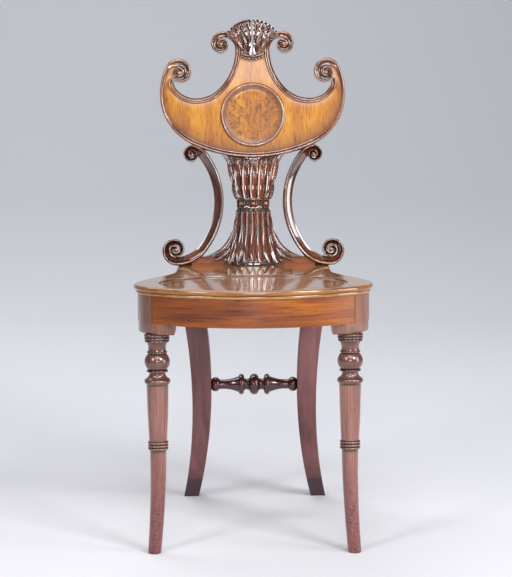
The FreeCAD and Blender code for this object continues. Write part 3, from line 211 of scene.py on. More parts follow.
def overlay_colour(material, share, code):
    """Lays a colour over a material's base colour, by a share that a node or socket of its tree gives."""
    tree = material.node_tree
    shader = next(node for node in tree.nodes if node.type == "BSDF_PRINCIPLED")
    base = shader.inputs["Base Color"].links[0].from_socket
    mixed = add(tree, "ShaderNodeMix", {0: share, 6: base, 7: colour(code)}, data_type="RGBA")
    tree.links.new(mixed.outputs[2], shader.inputs["Base Color"])


leg_high = corners("right_back_leg")[1]
rail_low = corners("back_rail")[0][2]
SABRE_START = 300
BOW = 20
ARRIS = 2.2
LEG_HEAD_FACE, LEG_HEAD_REAR = 121, 163
LEG_TOE, LEG_HEEL = 207, leg_high[1]
LEG_HEAD_IN, LEG_FOOT_IN = 92.5, 105.5
LEG_OUT = leg_high[0]


def swing(level, throw):
    """How far a sabre curve has swung at a level: an arc that leaves the upright where the sweep starts."""
    radius = (SABRE_START ** 2 + throw ** 2) / (2 * throw)
    fall = np.clip(SABRE_START - level, 0, None)
    return radius - np.sqrt(radius ** 2 - fall ** 2)


def bow(level):
    """How far a leg bows in at a level: an arc on the chord from the foot to the rail."""
    radius = (rail_low ** 2 / 4 + BOW ** 2) / (2 * BOW)
    reach = np.clip(level - rail_low / 2, -rail_low / 2, rail_low / 2)
    return BOW - radius + np.sqrt(radius ** 2 - reach ** 2)


def rounded_square(low_x, high_x, low_y, high_y, arris, steps=6):
    """Rings of points round squares with rounded arrises: each corner point is the square's corner drawn in
    by the arris, plus the arris along an angle that runs round the corner."""
    quarter = np.linspace(0, math.pi / 2, steps)
    angles = np.concatenate([quarter + turn * math.pi / 2 for turn in range(4)])
    right = np.repeat([1, 0, 0, 1], steps)
    rear = np.repeat([1, 1, 0, 0], steps)
    x = np.where(right, high_x - arris, low_x + arris) + arris * np.cos(angles)
    y = np.where(rear, high_y - arris, low_y + arris) + arris * np.sin(angles)
    return x, y


def sabre_leg(side):
    """Rounded squares at levels from the head to the floor, between the swept and the bowed curves."""
    level = np.concatenate([np.linspace(leg_high[2], rail_low, 4), np.linspace(rail_low - 6, 1, 60),
                            [0.3, 0]])[:, None]
    share = np.clip(level / rail_low, 0, 1)
    inside = LEG_FOOT_IN + (LEG_HEAD_IN - LEG_FOOT_IN) * share - bow(level)
    outside = LEG_OUT - bow(level)
    face = LEG_HEAD_FACE + swing(level, LEG_TOE - LEG_HEAD_FACE)
    rear = LEG_HEAD_REAR + swing(level, LEG_HEEL - LEG_HEAD_REAR)
    x, y = rounded_square(inside, outside, face, rear, ARRIS)
    return skin(points_of(side * x, y, level))


# Old worn polish: a dull purple-brown with little shine, and feet darkened to a ragged line by floor wax
FOOT_BAND, FOOT_FADE = 40, 8
RAG_SIZE, RAG_REACH = 6, 10
back_leg_wood = mahogany("worn_mahogany", ("#5c3a3a", "#805254", "#9a6668"), Z_AXIS, 0.45, 0.2, 0.25,
                         pore_depth=0.25, streaky=0.25)
tree = back_leg_wood.node_tree
spot = add(tree, "ShaderNodeTexCoord").outputs["Object"]
height = add(tree, "ShaderNodeSeparateXYZ", {0: spot}).outputs["Z"]
ragged = add(tree, "ShaderNodeTexNoise", {"Vector": spot, "Scale": 1 / (RAG_SIZE * MILLIMETRE)})
edge = add(tree, "ShaderNodeMath", {0: ragged, 1: RAG_REACH * MILLIMETRE, 2: height},
           operation="MULTIPLY_ADD")
darkened = add(tree, "ShaderNodeMapRange",
            {"Value": edge, "From Min": FOOT_BAND * MILLIMETRE,
             "From Max": (FOOT_BAND + FOOT_FADE) * MILLIMETRE, "To Min": 0.85, "To Max": 0})
overlay_colour(back_leg_wood, darkened, "#35222c")
for side, word in ((-1, "left"), (1, "right")):
    leg = make_piece(f"sabre_leg_{word}", [sabre_leg(side)], back_leg_wood)
    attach(leg, "root")
    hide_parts(f"{word}_back_leg")


# Stretcher
# A short mahogany spindle turned between centres, with end balls, flared lengths, sharp rings and
# a middle bulb. Its round tenons are glued into holes in the back legs.
ROOT_SHADE = 1.3


def turned(members, steps):
    """Radius, travel and painted shade along a turning. A member is (first diameter, last diameter, length,
    rise):
    a straight taper plus, where it swells or hollows, an arc of that rise on the member's length as chord.
    Painted shade darkens the roots of a swelling, by exp(-(d / shade)^2) at a distance d from a root."""
    share = (1 - np.cos(np.linspace(0, math.pi, steps))) / 2
    radii, travels, depths = [], [], []
    start = 0
    for first, last, length, rise in members:
        swell = np.zeros(steps)
        if rise:
            round_radius = (length ** 2 / 4 + rise ** 2) / (2 * abs(rise))
            reach = np.sqrt(np.clip(round_radius ** 2 - ((share - 0.5) * length) ** 2, 0, None))
            swell = math.copysign(1, rise) * np.clip(reach - round_radius + abs(rise), 0, None)
        radii.append((first + (last - first) * share) / 2 + swell)
        travels.append(start + length * share)
        root = np.minimum(share, 1 - share) * length
        depths.append(np.exp(-(root / ROOT_SHADE) ** 2) if rise > 0 else 0 * share)
        start += length
    return np.concatenate(radii), np.concatenate(travels), np.concatenate(depths)


AROUND = 64
turn_angles = np.linspace(0, 2 * math.pi, AROUND, endpoint=False)
spindle_low, spindle_high = corners("back_stretcher")
spindle_middle = 0.5 * (spindle_low + spindle_high)
spindle_half = 0.5 * (spindle_high[0] - spindle_low[0])
TENON_LONG, BALL_LONG, RING_LONG, NECK_LONG, BULB_LONG = 15, 15.5, 10, 9, 18
flare_long = spindle_half - TENON_LONG - BALL_LONG - BULB_LONG / 2 - NECK_LONG - RING_LONG
half_spindle = [(23, 23, NECK_LONG, -1.6), (23, 25, RING_LONG, 7.2), (30, 18, flare_long, -2.4),
                (17, 17, BALL_LONG, 4.8), (13, 13, TENON_LONG, 0)]
middle_bulb = [(23, 23, BULB_LONG, 7.8)]
mirrored = [(last, first, length, rise) for first, last, length, rise in reversed(half_spindle)]
radius, travel, depth = [line[:, None] for line in turned(mirrored + middle_bulb + half_spindle, 13)]
spindle = points_of(travel - spindle_half, spindle_middle[1] + radius * np.cos(turn_angles),
                    spindle_middle[2] + radius * np.sin(turn_angles))
# Dark polish that has kept its shine, because nothing rubs it there
spindle_wood = mahogany("dark_polished_mahogany", ("#260d0c", "#52201e", "#84392c"), X_AXIS, 0.2, 0.9, 0.06)
stretcher = make_piece("turned_stretcher", [skin(spindle, hollow=depth)], spindle_wood)
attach(stretcher, "root")
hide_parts("back_stretcher")


# Seat rails
# Four rails sawn to the plan of the seat, the front one bowed and lapped over the leg blocks.
# They are mahogany with the grain along the rail, polished on the outside.
seat_low, seat_high = corners("seat_board")
SEAT_FRONT = seat_low[1]
WIDEST = 118
BOW_REACH = 160


def finish(node, material):
    """Gives a CAD node that keeps its shape a material in place of its own."""
    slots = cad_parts[node].data.materials
    slots.clear()
    slots.append(material)


# Figured mahogany: a warm red-brown with short dark flecks drawn out along the rail
FLECK_WIDE, FLECK_LONG = 4, 46
front_rail_wood = mahogany("figured_mahogany", ("#5c2913", "#985229", "#c27a3c"), X_AXIS, 0.36, 0.2, 0.2,
                           bowed=(SEAT_FRONT + WIDEST, BOW_REACH))
tree = front_rail_wood.node_tree
spot = add(tree, "ShaderNodeTexCoord").outputs["Object"]
drawn = add(tree, "ShaderNodeMapping",
            {"Vector": spot, "Scale": grain_scale(FLECK_WIDE, FLECK_LONG, X_AXIS)})
flecks = add(tree, "ShaderNodeTexNoise", {"Vector": drawn, "Scale": 1, "Detail": 3, "Distortion": 1.2})
marks = add(tree, "ShaderNodeMapRange",
            {"Value": flecks, "From Min": 0.6, "From Max": 0.74, "To Max": 0.75})
overlay_colour(front_rail_wood, marks, "#3f180c")
# Plainer mahogany for the rails that are seen less, the sides browner and duller than the back
back_rail_wood = mahogany("rail_mahogany_back", ("#552511", "#8d4a24", "#b87136"), X_AXIS, 0.36, 0.3, 0.2)
side_rail_wood = mahogany("rail_mahogany", ("#55301f", "#7c4c33", "#96603f"), Y_AXIS, 0.4, 0.3, 0.2)
finish("front_rail", front_rail_wood)
finish("back_rail", back_rail_wood)
for word in ("left", "right"):
    finish(f"{word}_side_rail", side_rail_wood)


# Glue blocks, pegs and screws
# Blocks of pale softwood are rubbed into the corners of the frame and hold the screws that pull the
# seat board down. Pegs of the same pale wood join the back to the seat. None of them is polished.
RUST_SPECK = 2
# Planed softwood: pale, dull and even, with few pores to catch the eye
pale_wood = mahogany("planed_softwood", ("#a8814f", "#c39c67", "#d3b27f"), Z_AXIS, 0.6, 0, 0.3,
                     "#7a5530", 0.2)
# Dull steel: grey, with brown specks of rust that take its shine off
steel = bpy.data.materials.new("dull_steel")
steel.use_nodes = True
tree = steel.node_tree
tree.nodes.clear()
spot = add(tree, "ShaderNodeTexCoord").outputs["Object"]
rust = add(tree, "ShaderNodeTexNoise",
           {"Vector": spot, "Scale": 1 / (RUST_SPECK * MILLIMETRE), "Detail": 4})
metal = add(tree, "ShaderNodeValToRGB", {"Fac": rust},
            [(0.35, "#5d5650"), (0.55, "#8b8680"), (0.7, "#6d5a4a")])
worn = add(tree, "ShaderNodeMapRange", {"Value": rust, "To Min": 0.35, "To Max": 0.6})
shader = add(tree, "ShaderNodeBsdfPrincipled", {"Base Color": metal, "Roughness": worn, "Metallic": 1.0})
add(tree, "ShaderNodeOutputMaterial", {"Surface": shader})
finish("seat_screws", steel)
finish("splat_dowels", pale_wood)
for end in ("front", "back"):
    for word in ("left", "right"):
        finish(f"{end}_{word}_corner_block", pale_wood)


# Front legs
# Turned mahogany legs: a square block under the seat corner, rings, a bulb, a tapering shaft, a triple
# ring at the knee and a shank that kicks out at the foot. The front rail laps over the block.
SEAT_HALF = seat_high[0]
CORNER_RADIUS = 80
corner_reach = SEAT_HALF - CORNER_RADIUS
front_radius = (corner_reach ** 2 + WIDEST ** 2 - CORNER_RADIUS ** 2) / (2 * (WIDEST - CORNER_RADIUS))
bow_centre = np.array([0, SEAT_FRONT + front_radius])
corner_centre = np.array([corner_reach, SEAT_FRONT + WIDEST])
corner_start = math.atan2(*(corner_centre - bow_centre)[::-1])
LEG_X, LEG_Y = 158.5, SEAT_FRONT + 74
BLOCK_IN, BLOCK_FRONT, BLOCK_REAR = 128, LEG_Y - 24, LEG_Y + 28
BLOCK_LOW = 366
RAIL_INSET, LAP_THICK = 7, 12
LAP_REACH, LAP_GAP = 6.5, 0.7
LAP_END = LEG_X + LAP_REACH + LAP_GAP
RAIL_TOP = 429.6
KNEE_LOW = 172
SHANK_TOP, SHANK_TOE = 27.5, 22
SHANK_SHADE = 1.5
FOOT_SIDE, FOOT_FRONT = 7.5, 12


def arc(centre, radius, first, last, count):
    """Points on an arc: centre plus radius along angles that run evenly from first to last."""
    angles = np.linspace(first, last, count)
    return centre + radius * np.stack([np.cos(angles), np.sin(angles)], axis=1)


def at_level(plan, level):
    """A flat outline set at a level."""
    return np.column_stack([plan, np.full(len(plan), level)])


def leg_block(plan, levels, insets):
    """A plan carried up through levels, drawn in towards its middle by an inset at each."""
    middle = plan.mean(axis=0)
    way = (plan - middle) / np.linalg.norm(plan - middle, axis=1, keepdims=True)
    return np.stack([at_level(plan - way * inset, level) for level, inset in zip(levels, insets)])


def block_plans():
    """The block under the rail, cut to the seat's plan, and above it, housed for the rail's lap."""
    outer = CORNER_RADIUS - RAIL_INSET
    inner = outer - LAP_THICK
    bow_outer = front_radius - RAIL_INSET
    bow_inner = bow_outer - LAP_THICK
    rear_turn = math.asin((BLOCK_REAR - corner_centre[1]) / outer)
    front_turn = math.acos((bow_centre[1] - BLOCK_FRONT) / bow_outer) - math.pi / 2
    in_turn = -math.acos(BLOCK_IN / bow_inner)
    lap_outer = -math.acos((LAP_END - corner_centre[0]) / outer)
    lap_inner = -math.acos((LAP_END - corner_centre[0]) / inner)
    front_corner, rear_corner = [[BLOCK_IN, BLOCK_FRONT]], [[BLOCK_IN, BLOCK_REAR]]
    lower = np.concatenate([front_corner, arc(bow_centre, bow_outer, front_turn, corner_start, 6),
                            arc(corner_centre, outer, corner_start, rear_turn, 20), rear_corner])
    upper = np.concatenate([arc(bow_centre, bow_inner, in_turn, corner_start, 8),
                            arc(corner_centre, inner, corner_start, lap_inner, 6),
                            arc(corner_centre, outer, lap_outer, rear_turn, 20), rear_corner])
    return lower, upper


def turned_leg(side):
    """Block, turning and shank: two carried plans, the lower with its foot's arris taken off, and circles
    on an axis that kicks out below the knee by the square of the way down."""
    lower, upper = block_plans()
    block_top = rail_low - 0.1
    low_block = leg_block(lower, [BLOCK_LOW, BLOCK_LOW + 0.6, BLOCK_LOW + 2.2, block_top], [2.6, 0.9, 0, 0])
    high_block = leg_block(upper, [block_top, RAIL_TOP], [0, 0])
    head_rings = [(36, 36, 0.6, 0), (38, 38, 4.6, 2.4), (37, 37, 4.6, 2.6), (36, 36, 4.6, 2.4)]
    neck = [(34, 30, 15, -1.4), (30, 30, 4, 1.6)]
    bulb = [(28.5, 28.5, 28, 6.8), (34, 34, 3, 0.8)]
    cup = [(28.5, 36, 11, -2.5), (36, 36, 10, 3.4)]
    shaft = [(36, 29.5, 97, 0.5)]
    knee_ring = [(29.5, 29.5, 5, 2.3)]
    radius, travel, depth = turned(head_rings + neck + bulb + cup + shaft + 3 * knee_ring, 11)
    level = BLOCK_LOW - travel * (BLOCK_LOW - KNEE_LOW) / travel[-1]
    share = np.append(np.linspace(0, 1, 40), 1)
    shank_radius = (SHANK_TOP + (SHANK_TOE - SHANK_TOP) * share) / 2
    shank_radius[-1] -= 1
    radius = np.concatenate([radius, shank_radius])[:, None]
    kick = np.concatenate([np.zeros(len(level)), share ** 2])[:, None]
    level = np.concatenate([level, KNEE_LOW * (1 - share)])[:, None]
    level[-2] = 1
    # Painted shade at the roots of the turnings and on the shank just under the knee rings
    depth = np.concatenate([depth, np.exp(-share * KNEE_LOW / SHANK_SHADE)])[:, None]
    rings = points_of(LEG_X + FOOT_SIDE * kick + radius * np.cos(turn_angles),
                      LEG_Y - FOOT_FRONT * kick + radius * np.sin(turn_angles), level)
    flip = np.array([side, 1, 1])
    return [skin(low_block * flip), skin(high_block * flip), skin(rings * flip, hollow=depth)]


# Painted shade on the turnings under the block, which the seat overhangs, and polish worn through on the
# shanks, where shoes and brooms have scuffed them down to red wood
SCUFFED_TO, SCUFFS_END, SCUFF_SIZE = 60, 170, 3.5
DARK_START, DARK_FULL = 278, 288
BLOCK_FADE = 2
front_leg_wood = mahogany("rubbed_mahogany", ("#5c3631", "#8e5e54", "#ba8776"), Z_AXIS, 0.26, 0.8, 0.1,
                          pore_depth=0.08, streaky=0.22)
tree = front_leg_wood.node_tree
spot = add(tree, "ShaderNodeTexCoord").outputs["Object"]
height = add(tree, "ShaderNodeSeparateXYZ", {0: spot}).outputs["Z"]
low_down = add(tree, "ShaderNodeMapRange",
               {"Value": height, "From Min": SCUFFED_TO * MILLIMETRE, "From Max": SCUFFS_END * MILLIMETRE,
                "To Min": 1, "To Max": 0})
scuffs = add(tree, "ShaderNodeTexNoise",
             {"Vector": spot, "Scale": 1 / (SCUFF_SIZE * MILLIMETRE), "Detail": 3, "Roughness": 0.6})
patches = add(tree, "ShaderNodeMapRange", {"Value": scuffs, "From Min": 0.5, "From Max": 0.66})
scuffed = add(tree, "ShaderNodeMath", {0: patches, 1: low_down}, operation="MULTIPLY")
reddened = add(tree, "ShaderNodeMath", {0: low_down, 1: 0.6}, operation="MULTIPLY")
# Painted shade: the turnings from the shaft's top up to the block are darkened
above_shaft = add(tree, "ShaderNodeMapRange",
                  {"Value": height, "From Min": DARK_START * MILLIMETRE, "From Max": DARK_FULL * MILLIMETRE,
                   "To Max": 0.6})
block_edge = {"From Min": BLOCK_LOW * MILLIMETRE, "From Max": (BLOCK_LOW + BLOCK_FADE) * MILLIMETRE}
below_block = add(tree, "ShaderNodeMapRange", {"Value": height, "To Min": 1, "To Max": 0} | block_edge)
shade_under_block = add(tree, "ShaderNodeMath", {0: above_shaft, 1: below_block}, operation="MULTIPLY")
on_block = add(tree, "ShaderNodeMapRange", {"Value": height, "To Max": 0.5} | block_edge)
for share, code in ((shade_under_block, "#3b1a14"), (on_block, "#6b4226"), (reddened, "#7b3a3c"),
                    (scuffed, "#35130f")):
    overlay_colour(front_leg_wood, share, code)
for side, word in ((-1, "left"), (1, "right")):
    leg = make_piece(f"turned_leg_{word}", turned_leg(side), front_leg_wood)
    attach(leg, "root")
    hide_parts(f"{word}_front_leg")


# Seat board
# One mahogany board with a rounded nose over a small bead, a tail that narrows to the back and an oval
# dish sunk in its top. Screws through the corner blocks hold it down on the rails.
SEAT_TOP = seat_high[2]
SEAT_BACK = seat_high[1]
TAPER = math.radians(25)
TAIL_HALF, TAIL_CORNER = 138, 10
BLEND_RADIUS = 120
DISH_WIDE, DISH_LONG, DISH_END = 157.5, 106, 75
DISH_CENTRE = np.array([0, SEAT_FRONT + 15.5 + DISH_LONG])
DISH_DEEP = 2.4
COVE, LIP_IN, LIP_WIDE, LIP_TALL = 1.6, 1.0, 1.2, 0.8
NOSE_THICK, NOSE_ROUND = 9, 4.2
BEAD_STEP, BEAD_THICK, BEAD_ROUND = 3.5, 5.4, 1.8
QUIRK_IN, QUIRK_UP = 1.2, 0.1
DISH_WALL_SHADE, NOSE_DARKENING = 0.85, 0.3


def seat_outline(inset):
    """The seat's outline drawn in by an inset: a bowed front, round sides, a straight taper, a hollow curve
    and a straight tail. Arcs keep their centres, so points at two insets lie on the same normals."""
    across = np.array([math.cos(TAPER), math.sin(TAPER)])
    reach = across @ corner_centre + CORNER_RADIUS + BLEND_RADIUS
    blend_x = TAIL_HALF + BLEND_RADIUS
    blend = np.array([blend_x, (reach - across[0] * blend_x) / across[1]])
    tail = TAIL_HALF - inset
    back = SEAT_BACK - inset
    round_off = max(TAIL_CORNER - inset, 0.2)
    runs = [arc(bow_centre, front_radius - inset, -math.pi / 2, corner_start, 70),
            arc(corner_centre, CORNER_RADIUS - inset, corner_start, TAPER, 40)[1:],
            arc(blend, BLEND_RADIUS + inset, math.pi + TAPER, math.pi, 24)]
    taper_start, taper_end = runs[1][-1], runs[2][0]
    share = np.linspace(0, 1, 14)[1:-1, None]
    runs.insert(2, taper_start + (taper_end - taper_start) * share)
    tail_start = runs[3][-1]
    share = np.linspace(0, 1, 24)[1:-1, None]
    runs.append(tail_start + (np.array([tail, back - round_off]) - tail_start) * share)
    runs.append(arc(np.array([tail - round_off, back - round_off]), round_off, 0, math.pi / 2, 8))
    share = np.linspace(0, 1, 30)[1:, None]
    runs.append(np.array([tail - round_off, back]) * (1 - share) + np.array([0, back]) * share)
    right = np.concatenate(runs)
    left = right[-2:0:-1] * [-1, 1]
    return np.concatenate([right, left])


def dish_outline(way, shrink):
    """The oval dish met along rays from its middle: each ray meets an end arc or a side arc, at c.d plus the
    root of r^2 - c.c + (c.d)^2, with each radius shrunk alike."""
    side = ((DISH_WIDE - DISH_END) ** 2 + DISH_LONG ** 2 - DISH_END ** 2) / (2 * (DISH_LONG - DISH_END))
    quadrant = np.abs(way)
    end_centre = np.array([DISH_WIDE - DISH_END, 0])
    side_centre = np.array([0, DISH_LONG - side])
    meet = end_centre + (end_centre - side_centre) / np.linalg.norm(end_centre - side_centre) * DISH_END
    on_end = quadrant[:, 1] * meet[0] < quadrant[:, 0] * meet[1]
    centre = np.where(on_end[:, None], end_centre, side_centre)
    radius = np.where(on_end, DISH_END, side) - shrink
    along = np.sum(centre * quadrant, axis=1)
    reach = along + np.sqrt(radius ** 2 - np.sum(centre ** 2, axis=1) + along ** 2)
    return DISH_CENTRE + way * reach[:, None]


def seat_skin():
    """Rings from the middle of the dish out over its lip, across the top, round the moulded edge and in
    beneath. Painted shade darkens the wall of the dish and the quirk under the nose, and the nose is darkened
    a little."""
    rim = seat_outline(0)
    way = (rim - DISH_CENTRE) / np.linalg.norm(rim - DISH_CENTRE, axis=1, keepdims=True)
    floor = SEAT_TOP - DISH_DEEP
    flat = dish_outline(way, LIP_IN + COVE)
    rings = [at_level(DISH_CENTRE + (flat - DISH_CENTRE) * share, floor)
             for share in np.linspace(0.02, 1, 14)]
    wall = len(rings)
    for turn in np.linspace(0, math.pi / 2, 6)[1:]:
        cove = dish_outline(way, LIP_IN + COVE - COVE * math.sin(turn))
        rings.append(at_level(cove, floor + COVE * (1 - math.cos(turn))))
    for turn in np.linspace(0, math.pi / 2, 5):
        lip = dish_outline(way, LIP_IN - LIP_WIDE * (1 - math.cos(turn)))
        rings.append(at_level(lip, SEAT_TOP - LIP_TALL * (1 - math.sin(turn))))
    top = len(rings)
    lip, shoulder = rings[-1], at_level(seat_outline(NOSE_ROUND), SEAT_TOP)
    rings += [lip + (shoulder - lip) * share for share in np.linspace(0, 1, 9)[1:-1]]
    nose = len(rings) + 2
    nose_low = SEAT_TOP - NOSE_THICK
    nose_middle = nose_low + NOSE_THICK / 2
    for turn in np.linspace(0, math.pi, 13):
        edge = seat_outline(NOSE_ROUND * (1 - math.sin(turn)))
        rings.append(at_level(edge, nose_middle + NOSE_THICK / 2 * math.cos(turn)))
    quirk = len(rings)
    rings.append(at_level(seat_outline(NOSE_ROUND + QUIRK_IN), nose_low + QUIRK_UP))
    bead_middle = nose_low - BEAD_THICK / 2
    for turn in np.linspace(0, math.pi, 9):
        edge = seat_outline(BEAD_STEP + BEAD_ROUND * (1 - math.sin(turn)))
        rings.append(at_level(edge, bead_middle + BEAD_THICK / 2 * math.cos(turn)))
    # Painted shade on the dish's wall and in the quirk under the nose; the nose is only darkened a little
    dark = np.zeros(len(rings))
    dark[wall:top - 2] = DISH_WALL_SHADE
    dark[nose:quirk - 1] = NOSE_DARKENING
    dark[quirk - 1:quirk + 2] = 1
    return skin(np.stack(rings), hollow=dark[:, None])


# Wax polish built up over years on a broad top: deep brown with a mirror that stays a little soft
seat_wood = mahogany("waxed_mahogany", ("#8e5632", "#be824e", "#d9a46e"), X_AXIS, 0.18, 0.9, 0.07)
seat = make_piece("seat_top", [seat_skin()], seat_wood)
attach(seat, "root")
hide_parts("seat_board")


# Shoe
# A low square-edged strip of mahogany, glued across the back of the seat and cut to fit round the scrolls.
# The splat stands against it. Its polish is thin, which leaves a dull red-brown.
shoe_wood = mahogany("shoe_mahogany", ("#5d2c18", "#94522d", "#b87244"), X_AXIS, 0.5, 0.1, 0.3)
finish("back_shoe", shoe_wood)


# Panel of the back
# A shield-shaped mahogany board, its golden face cut with the grain upright. A double reed is worked
# round its lower edge, a reed and hollow round the top, and both curl into scrolls at horns and neck.
LEAN = math.radians(8)
BACK_FACE = SEAT_BACK - 28
PANEL_THICK = 20
TRACK_STEP = 3.0
VOLUTE_RATIO = 0.82


def on_back(across, behind, up):
    """Points of the back's leaning plane: across stays, behind and up turn by the lean about the face's
    foot."""
    y = BACK_FACE + behind * math.cos(LEAN) + up * math.sin(LEAN)
    z = SEAT_TOP - behind * math.sin(LEAN) + up * math.cos(LEAN)
    return points_of(across, y, z)


class Track:
    """A line of tangent arcs on the back's plane, each given as degrees of sweep and a radius. Each point
    keeps its normal, away from the arc's centre, and the degrees turned so far."""

    def __init__(self, start, heading, turn, steps):
        places, normals, turns = [], [], []
        spot = np.array(start, float)
        turned_so_far = 0
        for sweep, radius in steps:
            side = math.radians(heading + 90 * turn)
            centre = spot + radius * np.array([math.cos(side), math.sin(side)])
            travel = np.linspace(0, sweep, max(8, int(sweep / TRACK_STEP) + 1))
            angle = side + math.pi + turn * np.radians(travel)
            normal = np.stack([np.cos(angle), np.sin(angle)], axis=1)
            keep = slice(1 if places else 0, None)
            places.append((centre + radius * normal)[keep])
            normals.append(normal[keep])
            turns.append((turned_so_far + travel)[keep])
            spot = places[-1][-1]
            heading += turn * sweep
            turned_so_far += sweep
        self.place = np.concatenate(places)
        self.normal = np.concatenate(normals)
        self.turn = np.concatenate(turns)
        self.eye = centre

    def offset(self, distance):
        """The line drawn further from the arcs' centres."""
        return self.place + self.normal * np.reshape(distance, (-1, 1))

    def room(self, rim):
        """Width from the outer edge to the next turn's outer edge, along the normal."""
        outer = self.offset(rim)
        ahead = [np.interp(self.turn + 360, self.turn, outer[:, axis]) for axis in range(2)]
        return np.sum((outer - np.stack(ahead, axis=1)) * self.normal, axis=1)


def quarters(radius, count):
    """Quarter turns of a scroll, whose radius shrinks by its ratio at each."""
    return [(90, radius * VOLUTE_RATIO ** quarter) for quarter in range(count)]


def shrunk(past):
    """How much smaller a scroll has become: its ratio to the power of the quarter turns past its root."""
    return VOLUTE_RATIO ** (np.clip(past, 0, None) / 90)


def ease(value, start, end):
    """Rises smoothly from 0 at start to 1 at end: 3 s^2 - 2 s^3 of the share s between them."""
    share = np.clip((value - start) / (end - start), 0, 1)
    return share * share * (3 - 2 * share)


ACROSS = np.linspace(0, 1, 33)
REED_RISE = 3.2
GROOVE = 0.075
REAR_ARRIS = 1.5
SKIRT_SHARE, SKIRT_BEHIND, SKIRT_END = 0.9, 4, 9


def roll(share, start, end, rise):
    """A half round between two shares of a width, nothing outside them: the rise times the root of
    1 - (2 p - 1)^2, where p is the way from one share to the other."""
    place = np.clip((share - start) / (end - start), 0, 1)
    return rise * np.sqrt(np.clip(1 - (2 * place - 1) ** 2, 0, None))


def grooves(share, *places):
    """Painted shade lines at shares of a width, by exp(-(d / groove)^2) at a distance d from a line."""
    return np.max([np.exp(-((share - place) / GROOVE) ** 2) for place in places], axis=0)


DOUBLE_REED = roll(ACROSS, 0.0, 0.56, REED_RISE) + roll(ACROSS, 0.6, 0.98, 2.0) - 0.2
REED_AND_HOLLOW = (roll(ACROSS, 0.0, 0.42, REED_RISE) - roll(ACROSS, 0.46, 0.95, 2.4)
                   + roll(ACROSS, 0.94, 1.0, 0.4) - 0.3)
SINGLE_BEAD = roll(ACROSS, 0.0, 1.0, REED_RISE) - 0.2
# Painted shade along each moulding's grooves and edges, and in the hollow's channel
REED_LINES = grooves(ACROSS, 0.0, 0.58, 1.0)
BEAD_LINES = grooves(ACROSS, 0.0, 1.0)
HOLLOW_LINES = grooves(ACROSS, 0.0, 0.44, 1.0)
HOLLOW_SHADE = roll(ACROSS, 0.46, 0.95, 1)


def band(track, rim, width, front, dark, size, thick):
    """A moulding carried along a track: from its outer edge inwards its front follows heights given across
    the width and scaled by size, and its back stays flat with its arrises taken off."""
    count = len(track.turn)
    rim, width, size = [np.broadcast_to(value, count)[:, None] for value in (rim, width, size)]
    rear_share = np.array([1.0, 0.88, 0.12, 0.0])
    rear = np.broadcast_to(thick - np.array([REAR_ARRIS, 0, 0, REAR_ARRIS]), (count, 4))
    offset = np.concatenate([rim - width * ACROSS, rim - width * rear_share], axis=1)
    behind = np.concatenate([-front * size, rear], axis=1)
    place = track.place[:, None, :] + track.normal[:, None, :] * offset[:, :, None]
    hollow = np.concatenate([np.broadcast_to(dark, (count, len(ACROSS))), np.zeros((count, 4))], axis=1)
    return place[..., 0], behind, place[..., 1], hollow


def ground(track, first, sink, thick):
    """The board behind a scroll: the outline of one whole turn about the eye, flat in front and behind."""
    keep = (track.turn >= first) & (track.turn <= first + 360)
    outline = track.place[keep] - track.eye
    share = np.array([0.03, 1, 1, 0.03])[:, None]
    behind = np.array([sink, sink, thick - 1, thick - 1])[:, None] * np.ones(len(outline))
    return track.eye[0] + share * outline[:, 0], behind, track.eye[1] + share * outline[:, 1]


def eye(centre, reach, height, flip, behind=0.0):
    """A domed button at the heart of a scroll: rings of radius r sin t at height h cos t, with a skirt
    behind them. Painted shade darkens the dome's rim and the skirt down to the root."""
    turn = np.linspace(0.05, math.pi / 2, 9)[:, None]
    ring = np.concatenate([reach * np.sin(turn), [[reach], [reach * SKIRT_SHARE]]])
    rise = np.concatenate([height * np.cos(turn), [[-SKIRT_BEHIND], [-SKIRT_END]]])
    around = turn_angles[::2]
    across = flip * (centre[0] + ring * np.cos(around))
    deep = np.concatenate([ease(turn, 1.3, 1.6), [[1.0], [1.0]]]) * 0.8
    return skin(on_back(across, behind - rise, centre[1] + ring * np.sin(around)), hollow=deep)


EDGE = 5
PANEL_HALF = 337 / 2
HORN_LEVEL, HORN_RADIUS = 312, 101
HORN_CURL, HORN_UPPER = 24, 125
LOW_RADIUS = 260.4
low_side = PANEL_HALF - HORN_RADIUS
low_rise = math.sqrt((LOW_RADIUS - HORN_RADIUS) ** 2 - low_side ** 2)
low_centre = np.array([0, HORN_LEVEL + low_rise])
low_angle = math.degrees(math.atan2(low_side, low_rise))
horn_root = 90 + HORN_CURL
horn_track = Track((0, low_centre[1] - LOW_RADIUS + EDGE), 0, 1,
                   [(low_angle, LOW_RADIUS - EDGE), (90 - low_angle, HORN_RADIUS - EDGE),
                    (HORN_CURL, HORN_UPPER - EDGE), (90, 19.4), (90, 18.4)] + quarters(14.4, 6))
NECK_HALF, NECK_RADIUS, NECK_ROOT = 31, 106, 180
HOLLOW_LEVEL, HOLLOW_RADIUS = 299.5, 65
hollow_across = (NECK_HALF - EDGE + NECK_RADIUS * (1 - math.cos(math.pi / 4))
                 + HOLLOW_RADIUS * math.sin(math.pi / 4))
hollow_start = (hollow_across, HOLLOW_LEVEL)
neck_track = Track(hollow_start, 180, -1,
                   [(45, HOLLOW_RADIUS), (45, NECK_RADIUS), (90, 28), (90, 16.5)] + quarters(12.8, 6))
under_track = Track(hollow_start, 0, 1, [(60, 50), (62, 14)])
MOULD_WIDTH, BEAD_WIDTH = 10.0, 5.4
TURN_GAP, TURN_LEAST = 0.4, 2.0
GROUND_SINK, GROUND_SHADE = 3.4, 0.35


def horn_narrows(turn):
    """How far the double reed has turned into one bead on its way up the horn."""
    return ease(turn, horn_root - 75, horn_root - 40)


